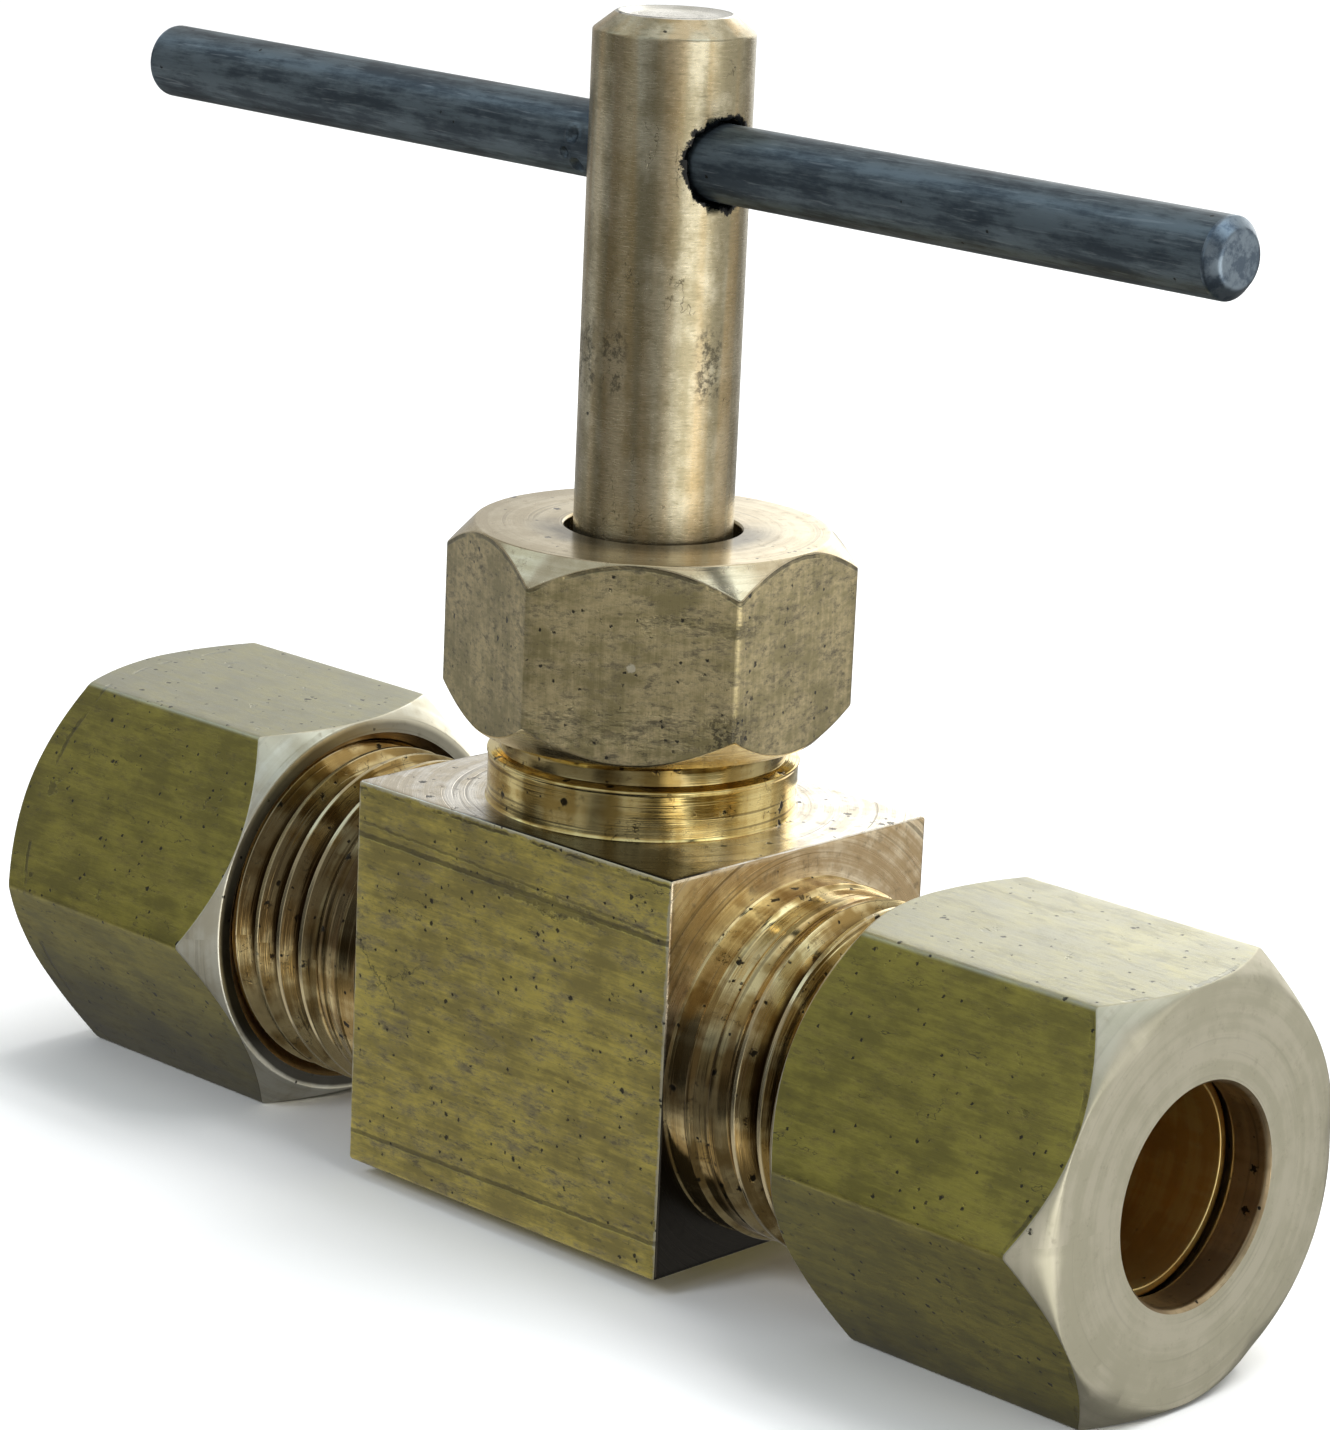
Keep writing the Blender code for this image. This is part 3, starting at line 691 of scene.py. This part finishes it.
def bar_end_steel(name):
    """The cut end and chamfer of the bar, brighter than its skin."""
    f = Finish(name)
    cut = f.noise(f.point(), 1.6, 6.0, 0.7)
    colour = f.mix(f.step(cut, 0.42, 0.6), rgb(0.12, 0.16, 0.21), rgb(0.26, 0.32, 0.38))
    return f.surface(colour, 0.26 + cut * 0.2, 1.0, f.bump(cut, 0.01))


def graphite(name):
    """Pressed black packing with a faint grain."""
    f = Finish(name)
    grain = f.noise(f.point(), 9.0, 6.0, 0.7)
    colour = f.mix(f.step(grain, 0.35, 0.7), rgb(0.012, 0.012, 0.013), rgb(0.06, 0.06, 0.062))
    return f.surface(colour, 0.55 + grain * 0.25, 0.1, f.bump(grain, 0.02))


def ground_steel(name):
    """Ground steel of the needle tip, with grinding lines round it."""
    f = Finish(name)
    along, distance, angle = polar(f, "Z")
    rings = f.noise(f.join(along, distance, angle * 0.2), 18.0, 3.0, 0.6)
    colour = f.mix(rings, rgb(0.35, 0.36, 0.37), rgb(0.62, 0.63, 0.64))
    return f.surface(colour, 0.2 + rings * 0.15, 1.0, f.bump(rings, 0.005))


BLOCK_SKIN = drawn_brass("block_skin", "X", rgb(0.92, 0.76, 0.18), rgb(0.46, 0.375, 0.11),
                         rgb(0.29, 0.24, 0.19), 0.75, marks=block_marks, lines=0.65)
NUT_SKIN = drawn_brass("nut_skin", "X", rgb(0.46, 0.40, 0.070), rgb(0.26, 0.225, 0.045),
                       rgb(0.26, 0.205, 0.06), 0.55, 31.0, marks=nut_marks, soil_and_shade=under_shade, top_dust_and_sheen=0.6,
                       lines=0.55)
PACKING_NUT_SKIN = drawn_brass("packing_nut_skin", "Z", rgb(0.78, 0.64, 0.35), rgb(0.38, 0.315, 0.145),
                               rgb(0.17, 0.145, 0.09), 0.8, 57.0, marks=packing_nut_marks, lines=0.45)
BLOCK_FACED = faced_brass("block_faced_side", "X", rgb(0.94, 0.80, 0.57), rgb(0.55, 0.40, 0.22),
                          0.24, 0.012, 0.7, side_shade_and_oil)
# The faced top is painted paler and greyer than the faced sides: a painted highlight on the face that looks
# up.
BLOCK_FACED_TOP = faced_brass("block_faced_top", "Z", rgb(0.92, 0.88, 0.80), rgb(0.68, 0.60, 0.46),
                              0.15, 0.009, 0.6, top_neck_reflection)
NUT_FACED = faced_brass("nut_faced_end", "X", rgb(0.66, 0.62, 0.49), rgb(0.57, 0.54, 0.41),
                        0.44, 0.002, 0.12)
NUT_MOUTH_FACED = faced_brass("nut_faced_mouth", "X", rgb(0.82, 0.80, 0.68), rgb(0.68, 0.64, 0.50),
                              0.26, 0.003, 0.2, mouth_shade)
PACKING_NUT_FACED = faced_brass("packing_nut_faced", "Z", rgb(0.76, 0.66, 0.46), rgb(0.58, 0.48, 0.30),
                                0.14, 0.003, 0.3, roof_soil)
BOSS_TURNED = turned_brass("boss_turned", "X", rgb(0.84, 0.67, 0.34), rgb(0.42, 0.28, 0.10), grime=0.8,
                           threads=(TUBE_ROOT, TUBE_CREST, 8.5), soil_and_shade=boss_reflection_band)
NECK_TURNED = turned_brass("neck_turned", "Z", rgb(0.95, 0.78, 0.36), rgb(0.60, 0.42, 0.13), grime=0.9,
                           threads=(4.32, 4.80, 8.1))
BORE_TURNED = turned_brass("bore_turned", "X", rgb(0.62, 0.48, 0.29), rgb(0.42, 0.31, 0.18), 0.34)
FERRULE_BRASS = turned_brass("ferrule_turned", "X", rgb(0.98, 0.80, 0.36), rgb(0.86, 0.60, 0.22),
                             0.30, 0.003, 0.1)
INNER_BRASS = turned_brass("inner_turned", "Z", rgb(0.72, 0.54, 0.24), rgb(0.52, 0.36, 0.13))
STEM_SKIN = stem_brass("stem_skin")
STEM_FACED = faced_brass("stem_faced_top", "Z", rgb(0.92, 0.90, 0.84), rgb(0.70, 0.68, 0.60),
                         0.18, 0.006, 0.2, stem_top_soil)
BAR_SKIN = bar_steel("bar_skin")
BAR_CUT = bar_end_steel("bar_cut_end")
GRAPHITE = graphite("packing_graphite")
NEEDLE_STEEL = ground_steel("needle_steel")


# ---- Block with its three bosses -----------------------------------------------------------------
BLOCK_LOW = np.array([-BLOCK_FACE, -BLOCK_BACK, -RUN_HEIGHT])
BLOCK_HIGH = np.array([BLOCK_FACE, BLOCK_BACK, BLOCK_TOP])


def edge_places(low, high, count=38):
    """Places along a block edge, closer together where it runs into the rounded corners."""
    inner = np.linspace(low + BLOCK_FILLET, high - BLOCK_FILLET, count)
    ends = BLOCK_FILLET * np.array([0, 0.3, 0.65])
    return np.concatenate([low + ends, inner, high - ends[::-1]])


def round_edges(points):
    """Moves points of a sharp box onto a rounded one: nearest point of an inner box plus a fillet outwards."""
    inner = np.clip(points, BLOCK_LOW + BLOCK_FILLET, BLOCK_HIGH - BLOCK_FILLET)
    out = points - inner
    return inner + BLOCK_FILLET * out / np.linalg.norm(out, axis=-1, keepdims=True)


def plain_face(axis, height, material):
    """A full block face: the grid of edge places along its two directions, at one height on the third."""
    first, second = [i for i in range(3) if i != axis]
    a, b = np.meshgrid(edge_places(BLOCK_LOW[first], BLOCK_HIGH[first]),
                       edge_places(BLOCK_LOW[second], BLOCK_HIGH[second]), indexing="ij")
    grid = np.empty(a.shape + (3,))
    grid[..., first], grid[..., second], grid[..., axis] = a, b, height
    return round_edges(grid), material


def perimeter(low, high):
    """Points round a rectangle, anticlockwise from its lower right corner and back to it."""
    across, up = edge_places(low[0], high[0]), edge_places(low[1], high[1])
    right = np.stack([np.full_like(up, high[0]), up], -1)
    top = np.stack([across[::-1], np.full_like(across, high[1])], -1)
    left = np.stack([np.full_like(up, low[0]), up[::-1]], -1)
    bottom = np.stack([across, np.full_like(across, low[1])], -1)
    return np.concatenate([right, top[1:], left[1:], bottom[1:]])


def holed_face(low, high, height, radius):
    """Rows from a rectangle's edge in to a circle round the local origin, and the angle of each column."""
    rim = perimeter(low, high)
    theta = np.unwrap(np.arctan2(rim[:, 1], rim[:, 0]))
    centre, half = (low + high) / 2, (high - low) / 2
    insets = BLOCK_FILLET * np.array([0, 0.3, 0.65, 1])
    rows = [centre + (rim - centre) * (1 - inset / half) for inset in insets]
    circle = radius * np.stack([np.cos(theta), np.sin(theta)], -1)
    rows += [rows[len(insets) - 1] * (1 - k) + circle * k for k in np.linspace(0, 1, 15)[1:]]
    flat = np.array(rows)
    return np.concatenate([flat, np.full(flat.shape[:2] + (1,), height)], -1), theta


def tube_boss(side):
    """One faced side of the block and its boss: shoulder, run-out, thread, end, cone seat and passage."""
    low = np.array([-BLOCK_BACK, -RUN_HEIGHT if side > 0 else -BLOCK_TOP])
    high = np.array([BLOCK_BACK, BLOCK_TOP if side > 0 else RUN_HEIGHT])
    face, theta = holed_face(low, high, BLOCK_FACE, 5.60)
    shoulder = rounded(corners((BLOCK_FACE, 5.60), (6.88, 5.545), (7.66, 5.54), (7.73, 5.59), (7.80, 5.55),
                               (7.90, 5.44), (8.30, 5.40), (8.42, 5.37), (8.50, 5.42)), 0.03, steps=3)
    cut = thread(theta, 8.50, BOSS_END, TUBE_ROOT, TUBE_CREST, 5.42, TUBE_ROOT - 0.08)
    cone_start = BOSS_END - (SEAT_MOUTH - SOCKET_RADIUS) / SEAT_SLOPE
    seat = rounded(corners((BOSS_END, TUBE_ROOT - 0.08), (BOSS_END, SEAT_MOUTH), (cone_start, SOCKET_RADIUS),
                           (SOCKET_FLOOR, SOCKET_RADIUS)), 0.06, steps=3)
    outer = np.concatenate([turned(shoulder, theta), turned(cut, theta)[1:]])
    rings = [circle_row(theta, SOCKET_FLOOR, SOCKET_RADIUS)]
    rings += [rings[0] * (1 - k) + circle_row(theta, SOCKET_FLOOR, PASSAGE_RADIUS, 0, PASSAGE_OFFSET) * k
              for k in np.linspace(0, 1, 9)[1:]]
    depth = 3.4
    rings += [circle_row(theta, s, PASSAGE_RADIUS, 0, PASSAGE_OFFSET)
              for s in np.linspace(SOCKET_FLOOR, depth, 6)[1:]]
    rings.append(circle_row(theta, depth - 0.4, 0, 0, PASSAGE_OFFSET))
    grids = [(round_edges(to_run(face, side)), BLOCK_FACED), (to_run(outer, side), BOSS_TURNED),
             (to_run(turned(seat, theta), side), BORE_TURNED), (to_run(np.array(rings), side), BORE_TURNED)]
    return grids


def packing_boss():
    """The block's faced top and its boss: neck, groove, thread, packing chamber and bore to the seat."""
    face, theta = holed_face(BLOCK_LOW[:2], BLOCK_HIGH[:2], BLOCK_TOP, 4.86)
    neck = rounded(corners((BLOCK_TOP, 4.86), (BLOCK_TOP + 0.07, 4.80), (7.95, 4.80), (8.03, 4.85),
                           (8.10, 4.82), (8.16, 4.42), (8.52, 4.42)), 0.03, steps=3)
    cut = thread(theta, 8.52, PACKING_BOSS_END, PACKING_ROOT, PACKING_CREST, 4.42, PACKING_ROOT - 0.08, 0.5)
    bore = rounded(corners((PACKING_BOSS_END, PACKING_ROOT - 0.08), (PACKING_BOSS_END, 3.45), (8.0, 3.45),
                           (8.0, 2.98), (1.2, 2.98), (1.2, 2.6), (0.9, 2.6), (-0.1, 1.1), (-0.4, 1.1),
                           (-0.6, 0)), 0.03, steps=2)
    outer = np.concatenate([turned(neck, theta), turned(cut, theta)[1:]])
    return [(round_edges(face), BLOCK_FACED_TOP), (outer, NECK_TURNED), (turned(bore, theta), INNER_BRASS)]


def make_body():
    patches = [plain_face(1, BLOCK_LOW[1], BLOCK_SKIN), plain_face(1, BLOCK_HIGH[1], BLOCK_SKIN),
               plain_face(2, BLOCK_LOW[2], BLOCK_SKIN)]
    patches += tube_boss(-1) + tube_boss(1) + packing_boss()
    add_piece("block_and_bosses", patches, "body", ["valve_body"])


# ---- Nuts ----------------------------------------------------------------------------------------
def hexagon(flats, clock, corner=0.14, per_side=22, per_corner=4):
    """Angles and radii round a hexagon, its corners bent over the last length called corner of each side.

    A bend is (1-t)^2 p + 2t(1-t) c + t^2 q from p on one side to q on the next, c being the sharp corner.
    """
    radius = flats / math.sqrt(3)
    turn = clock + np.radians(60) * np.arange(6)
    here = radius * np.stack([np.cos(turn), np.sin(turn)], -1)
    before, after = np.roll(here, 1, 0), np.roll(here, -1, 0)
    share = corner / radius
    p, q = here + (before - here) * share, here + (after - here) * share
    far = after + (here - after) * share
    t = np.linspace(0, 1, per_corner + 1)[:, None, None]
    bend = (1 - t) ** 2 * p + 2 * t * (1 - t) * here + t * t * q
    straight = q + (far - q) * np.linspace(0, 1, per_side + 1)[1:-1, None, None]
    points = np.concatenate([bend, straight]).transpose(1, 0, 2).reshape(-1, 2)
    points = np.concatenate([points, points[:1]])
    return np.unwrap(np.arctan2(points[:, 1], points[:, 0])), np.hypot(points[:, 0], points[:, 1])


def columns(theta, *points):
    """Profile points as an array of points by columns by two, where a value may differ by column."""
    wide = [[np.broadcast_to(value, theta.shape) for value in point] for point in points]
    return np.array(wide).transpose(0, 2, 1)


def hex_outside(theta, reach, ends, circles, holes, slopes, softness):
    """Outside of a nut as a profile, in three parts: one end, the flats and the far end.

    From the hole's edge it goes to the end circle, up a chamfer cone to each column's own reach, along the
    flat, and the same way back at the far end. Each pair of arguments is for the start and the far end.
    """
    first, last = (np.minimum(circle, reach - 0.01) for circle in circles)
    low = ends[0] + np.maximum(reach - circles[0], 0) * slopes[0]
    high = ends[1] - np.maximum(reach - circles[1], 0) * slopes[1]
    profile = columns(theta, (ends[0], holes[0]), (ends[0], (holes[0] + first) / 2), (ends[0], first),
                      (low, reach), (high, reach),
                      (ends[1], last), (ends[1], (holes[1] + last) / 2), (ends[1], holes[1]))
    solid = turned(rounded(profile, (0, 0, softness[0], 0.06, 0.06, softness[1], 0, 0), steps=5), theta)
    return solid[:17], solid[16:22], solid[21:]


def finish_nut(name, node, side, body):
    """Hexagonal nut with a threaded mouth towards the block and a 45 degree shoulder behind the tube hole."""
    low, high = sorted(abs(place) for place in span(node, 0))
    theta, reach = hexagon(NUT_FLATS, side * NUT_CLOCK)
    holes = (NUT_MOUTH, NUT_HOLE + 0.12)
    mouth_end, flats, far_end = hex_outside(theta, reach, (low, high), (6.32, 6.33), holes, (1.0, 1.0),
                                            (0.05, 0.75))
    shoulder = high - NUT_LAND
    minor = TUBE_ROOT + THREAD_GAP
    hole = rounded(corners((high, NUT_HOLE + 0.12), (high - 0.12, NUT_HOLE), (shoulder, NUT_HOLE),
                           (shoulder - minor + NUT_HOLE, minor)), (0, 0.12, 0.08, 0), steps=5)
    mouth = inner_thread(theta, low, shoulder - minor + NUT_HOLE, TUBE_ROOT, TUBE_CREST, NUT_MOUTH, minor)
    patches = [(to_run(flats, side), NUT_SKIN), (to_run(mouth_end, side), NUT_MOUTH_FACED),
               (to_run(far_end, side), NUT_FACED), (to_run(turned(hole, theta), side), BORE_TURNED),
               (to_run(turned(mouth, theta), side), BORE_TURNED)]
    add_piece(name, patches, body, [node])


def make_packing_nut():
    """The smaller nut round the stem, with its thread below and a flat roof with the stem hole above."""
    theta, reach = hexagon(PACKING_NUT_FLATS, PACKING_NUT_CLOCK)
    low, high = PACKING_NUT_START, PACKING_NUT_TOP
    under, flats, roof = hex_outside(theta, reach, (low, high), (5.42, 5.47), (4.95, PACKING_NUT_HOLE + 0.06),
                                     (1.08, 1.08), (0.05, 0.05))
    ceiling = high - PACKING_NUT_ROOF
    minor = PACKING_ROOT + THREAD_GAP
    hole = rounded(corners((high, PACKING_NUT_HOLE + 0.06), (high - 0.06, PACKING_NUT_HOLE),
                           (ceiling, PACKING_NUT_HOLE), (ceiling, minor)), (0, 0.05, 0.05, 0), steps=3)
    mouth = inner_thread(theta, low, ceiling, PACKING_ROOT, PACKING_CREST, 4.95, minor)
    patches = [(flats, PACKING_NUT_SKIN), (under, NECK_TURNED), (roof, PACKING_NUT_FACED),
               (turned(hole, theta), PACKING_NUT_FACED), (turned(mouth, theta), NECK_TURNED)]
    add_piece("packing_nut_hexagon", patches, "bonnet_nut", ["packing_nut"])


# ---- Ferrules ------------------------------------------------------------------------------------
def make_ferrule(name, node, side, body):
    """A ring whose section tapers to thin ends, with the corners softened."""
    low, high = sorted(abs(place) for place in span(node, 0))
    theta = round_angles(128)
    section = corners((low, FERRULE_BORE), (low, FERRULE_END), (low + 2.0, FERRULE_MIDDLE),
                      (high - 2.0, FERRULE_MIDDLE), (high, FERRULE_END), (high, FERRULE_BORE))
    ring = rounded(section, (0.06, 0.08, 0.6, 0.6, 0.08, 0.06), closed=True)
    add_piece(name, [(to_run(turned(ring, theta), side), FERRULE_BRASS)], body, [node])


# ---- Stem and bar --------------------------------------------------------------------------------
def along_bar(points):
    """From local axes to the tee bar: local Z runs along the bar."""
    x, y, z = points[..., 2], points[..., 0], points[..., 1]
    c, s = math.cos(BAR_TURN), math.sin(BAR_TURN)
    return np.stack([x * c - y * s, x * s + y * c, z + BAR_HEIGHT], -1)


def make_stem():
    """The screwed stem, turned with a chamfered and slightly dished top, then drilled across for the bar."""
    theta = round_angles(128)
    lower = rounded(corners((3.60, 0), (3.60, 1.55), (2.2, 1.55), (2.2, 1.15), (STEM_BOTTOM, 1.15),
                            (STEM_BOTTOM, 2.2), (2.6, 2.2), (2.6, 2.88), (5.2, 2.88), (5.2, STEM_RADIUS)),
                    0.04, steps=2)
    shaft = corners(*[(height, STEM_RADIUS) for height in np.linspace(5.2, STEM_TOP - 0.85, 60)])
    top = rounded(corners((STEM_TOP - 0.85, STEM_RADIUS), (STEM_TOP - 0.72, STEM_RADIUS),
                          (STEM_TOP - 0.20, 1.80), (STEM_TOP - 0.16, 1.72), (STEM_TOP - 0.19, 1.62),
                          (STEM_TOP - 0.26, 1.35), (STEM_TOP - 0.29, 0)),
                  (0, 0.14, 0.04, 0.04, 0.05, 0.2, 0), steps=4)
    side = np.concatenate([turned(lower, theta), turned(shaft, theta)[1:]])
    chamfer, dish = turned(top[:9], theta), turned(top[8:], theta)
    patches = [(side, STEM_SKIN), (chamfer, STEM_SKIN), (dish, STEM_FACED)]
    stem = add_piece("stem_shaft", patches, "stem", ["needle_stem"])
    drill_across(stem)


def drill_across(stem):
    """Cuts the bar's hole, whose radius wavers a little round its edge, and makes the cut final."""
    theta = round_angles(72)
    waver = 0.035 * np.sin(5 * theta + 1) + 0.025 * np.sin(11 * theta) + 0.02 * np.sin(17 * theta + 2)
    radius = BAR_HOLE + waver
    rings = np.array([circle_row(theta, s, r) for s, r in ((-4, 0), (-4, radius), (4, radius), (4, 0))])
    points = along_bar(rings)
    tool = place("drill", join_patches("drill", [(points, STEM_SKIN)]))
    change = stem.modifiers.new("hole", "BOOLEAN")
    change.object = tool
    change.operation = "DIFFERENCE"
    change.solver = "EXACT"
    graph = bpy.context.evaluated_depsgraph_get()
    mesh = bpy.data.meshes.new_from_object(stem.evaluated_get(graph))
    stem.modifiers.clear()
    stem.data = mesh
    bpy.data.objects.remove(tool)


def stake_marks(points):
    """Presses two dents with raised rims into the bar's front beside the stem.

    Each dent lowers the skin by depth * exp(-(d/w)^2) and raises it by rim * exp(-((d-w)/v)^2), d being the
    distance from its centre along the bar and round it.
    """
    angle = np.arctan2(points[..., 1], points[..., 0])
    along = points[..., 2]
    radius = np.hypot(points[..., 0], points[..., 1])
    change = np.zeros_like(radius)
    for place, turn, size in ((-2.98, -2.50, 0.28), (-3.02, 2.95, 0.26), (-3.36, -2.85, 0.16)):
        gap = np.mod(angle - turn + math.pi, TURN) - math.pi
        distance = np.hypot(along - place, gap * BAR_RADIUS)
        change += 0.08 * np.exp(-((distance - size) / 0.09) ** 2) - 0.20 * np.exp(-(distance / size) ** 2)
    scale = ((radius + change) / np.maximum(radius, 1e-6))[..., None]
    return np.concatenate([points[..., :2] * scale, points[..., 2:]], -1)


def make_bar():
    theta = round_angles(96)
    ends = 0.34
    low, high = (place / math.cos(BAR_TURN) for place in (BAR_LOW, BAR_HIGH))
    dented = np.arange(-4.4, -2.3, 0.05)
    plain = (np.linspace(low + ends + 0.1, -4.5, 16), np.linspace(-2.2, high - ends - 0.1, 20))
    rows = np.concatenate([plain[0], dented, plain[1]])
    skin = stake_marks(turned(corners(*[(s, BAR_RADIUS) for s in rows]), theta))
    tip = BAR_RADIUS - ends
    left = rounded(corners((rows[0], BAR_RADIUS), (low + ends, BAR_RADIUS), (low, tip), (low, 0)),
                   (0, 0.05, 0.1, 0), steps=4)
    right = rounded(corners((rows[-1], BAR_RADIUS), (high - ends, BAR_RADIUS), (high, tip), (high, 0)),
                    (0, 0.05, 0.1, 0), steps=4)
    patches = [(along_bar(skin), BAR_SKIN), (along_bar(turned(left, theta)), BAR_CUT),
               (along_bar(turned(right, theta)), BAR_CUT)]
    add_piece("tee_bar_rod", patches, "stem", ["tee_bar"])


# ---- Hidden pieces carried over from the frame ---------------------------------------------------
def finish_inner_pieces():
    kept = {"needle_tip": NEEDLE_STEEL, "gland_follower": INNER_BRASS, "packing_washer": INNER_BRASS,
            "packing_ring_upper": GRAPHITE, "packing_ring_lower": GRAPHITE}
    for node, material in kept.items():
        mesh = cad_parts[node].data
        mesh.materials.clear()
        mesh.materials.append(material)


# ---- Studio --------------------------------------------------------------------------------------
FLOOR_HEIGHT = cad_low[2]


def make_floor():
    f = Finish("pale_floor")
    cloud = f.noise(f.point(), 0.02, 2.0, 0.5)
    colour = f.mix(cloud, rgb(0.86, 0.86, 0.86), rgb(0.9, 0.9, 0.9))
    material = f.surface(colour, 0.8, 0.0, f.bump(cloud, 0.01))
    bpy.ops.mesh.primitive_plane_add(size=6, location=(0, 0, FLOOR_HEIGHT))
    floor = bpy.context.object
    floor.name = "floor"
    floor.data.materials.append(material)
    floor.visible_glossy = False


def direction(azimuth, elevation):
    """Unit vector from the object towards a viewer at that azimuth and elevation, in degrees."""
    a, e = math.radians(azimuth), math.radians(elevation)
    return Vector((math.sin(a) * math.cos(e), -math.cos(a) * math.cos(e), math.sin(e)))


def facing(f, ray, place):
    """How nearly a ray points towards an azimuth and elevation: the cosine of the angle between them."""
    towards = tuple(direction(*place))
    return f.node("ShaderNodeVectorMath", [ray, towards], output="Value", operation="DOT_PRODUCT")


def make_world():
    """Surroundings by direction: pale sky, darker ground, and soft panels that the metal mirrors."""
    world = bpy.data.worlds.new("studio")
    bpy.context.scene.world = world
    world.use_nodes = True
    f = Finish("studio", world.node_tree)
    ray = f.node("ShaderNodeTexCoord", output="Generated")
    level = f.split(ray)[2]
    warm = 0.12 + f.step(level, -0.9, 0.3) * 0.21
    cool = 0.0
    warm_panels = [((200, 14), 0.90, 0.955, 1.35), ((222, 18), 0.55, 0.97, 0.22),
                   ((206, 16), 0.90, 0.97, 0.20), ((100, -22), 0.95, 0.98, 0.5),
                   ((138, 0), 0.82, 0.98, 0.55), ((87, -12), 0.865, 0.935, 1.6),
                   ((160, 65), 0.70, 0.95, 0.60), ((46, -14), 0.80, 0.97, 0.10),
                   ((298, -40), 0.93, 0.98, 0.36), ((316, 3), 0.92, 0.97, -0.21),
                   ((291, -8), 0.955, 0.985, 0.26), ((18, -12), 0.955, 0.985, -0.16)]
    cool_panels = [((0, 62), 0.80, 0.97, 0.30), ((345, 12), 0.94, 0.985, 0.35), ((93, 50), 0.93, 0.98, 0.60),
                   ((286, 44), 0.96, 0.99, 0.75), ((121, 58), 0.97, 0.99, 0.80)]
    for place, edge, core, strength in warm_panels:
        warm = warm + f.step(facing(f, ray, place), edge, core) * strength
    for place, edge, core, strength in cool_panels:
        cool = cool + f.step(facing(f, ray, place), edge, core) * strength
    colour = f.mix(cool / (warm + cool), rgb(0.98, 0.97, 0.93), rgb(0.62, 0.83, 1.0))
    seen = f.node("ShaderNodeLightPath", output="Is Camera Ray")
    light = f.node("ShaderNodeBackground", {"Color": f.mix(seen, colour, rgb(1, 1, 1)),
                                            "Strength": (warm + cool) * (1 - seen) + seen})
    f.node("ShaderNodeOutputWorld", {"Surface": light})


def add_light(name, azimuth, elevation, distance, size, power, colour=(1, 1, 1)):
    lamp = bpy.data.lights.new(name, "AREA")
    lamp.shape = "RECTANGLE"
    lamp.size, lamp.size_y = size
    lamp.energy = power
    lamp.color = colour
    lamp_object = bpy.data.objects.new(name, lamp)
    bpy.context.scene.collection.objects.link(lamp_object)
    lamp_object.visible_glossy = False
    towards = direction(azimuth, elevation)
    lamp_object.location = Vector((0, 0, 0.012)) + towards * distance
    lamp_object.rotation_mode = "QUATERNION"
    lamp_object.rotation_quaternion = towards.to_track_quat("Z", "Y")


def make_lights():
    add_light("overhead", 150, 68, 0.60, (0.5, 0.4), 3.6)
    add_light("window", 350, 38, 0.30, (0.07, 0.1), 0.28, (0.92, 0.96, 1.0))
    add_light("side", 80, 22, 0.35, (0.1, 0.2), 0.2)


def make_camera():
    """Looks at the valve from its right front, a little above, with a slight roll."""
    azimuth, elevation = math.radians(43.695), math.radians(14.845)
    roll, distance, lens = math.radians(2.551), 0.147697, 118.62
    right = Vector((math.cos(azimuth), math.sin(azimuth), 0))
    back = direction(43.695, 14.845)
    up = back.cross(right)
    target = Vector((0, 0, RUN_HEIGHT * MM)) + right * 0.000618 + up * 0.008934
    across = right * math.cos(roll) + up * math.sin(roll)
    upright = up * math.cos(roll) - right * math.sin(roll)
    camera = bpy.data.cameras.new("camera")
    camera.lens = lens
    camera.sensor_width = 36
    camera.clip_start = 0.01
    holder = bpy.data.objects.new("camera", camera)
    bpy.context.scene.collection.objects.link(holder)
    turn = Matrix((across, upright, back)).transposed().to_4x4()
    holder.matrix_world = Matrix.Translation(target + back * distance) @ turn
    bpy.context.scene.camera = holder


make_camera()
make_body()
finish_nut("outlet_nut_hexagon", "outlet_nut", 1, "outlet_coupling_nut")
finish_nut("inlet_nut_hexagon", "inlet_nut", -1, "inlet_coupling_nut")
make_packing_nut()
make_ferrule("outlet_ferrule_ring", "outlet_ferrule", 1, "outlet_sleeve")
make_ferrule("inlet_ferrule_ring", "inlet_ferrule", -1, "inlet_sleeve")
make_stem()
make_bar()
finish_inner_pieces()
make_floor()
make_world()
make_lights()
bpy.context.scene.view_settings.view_transform = "Standard"
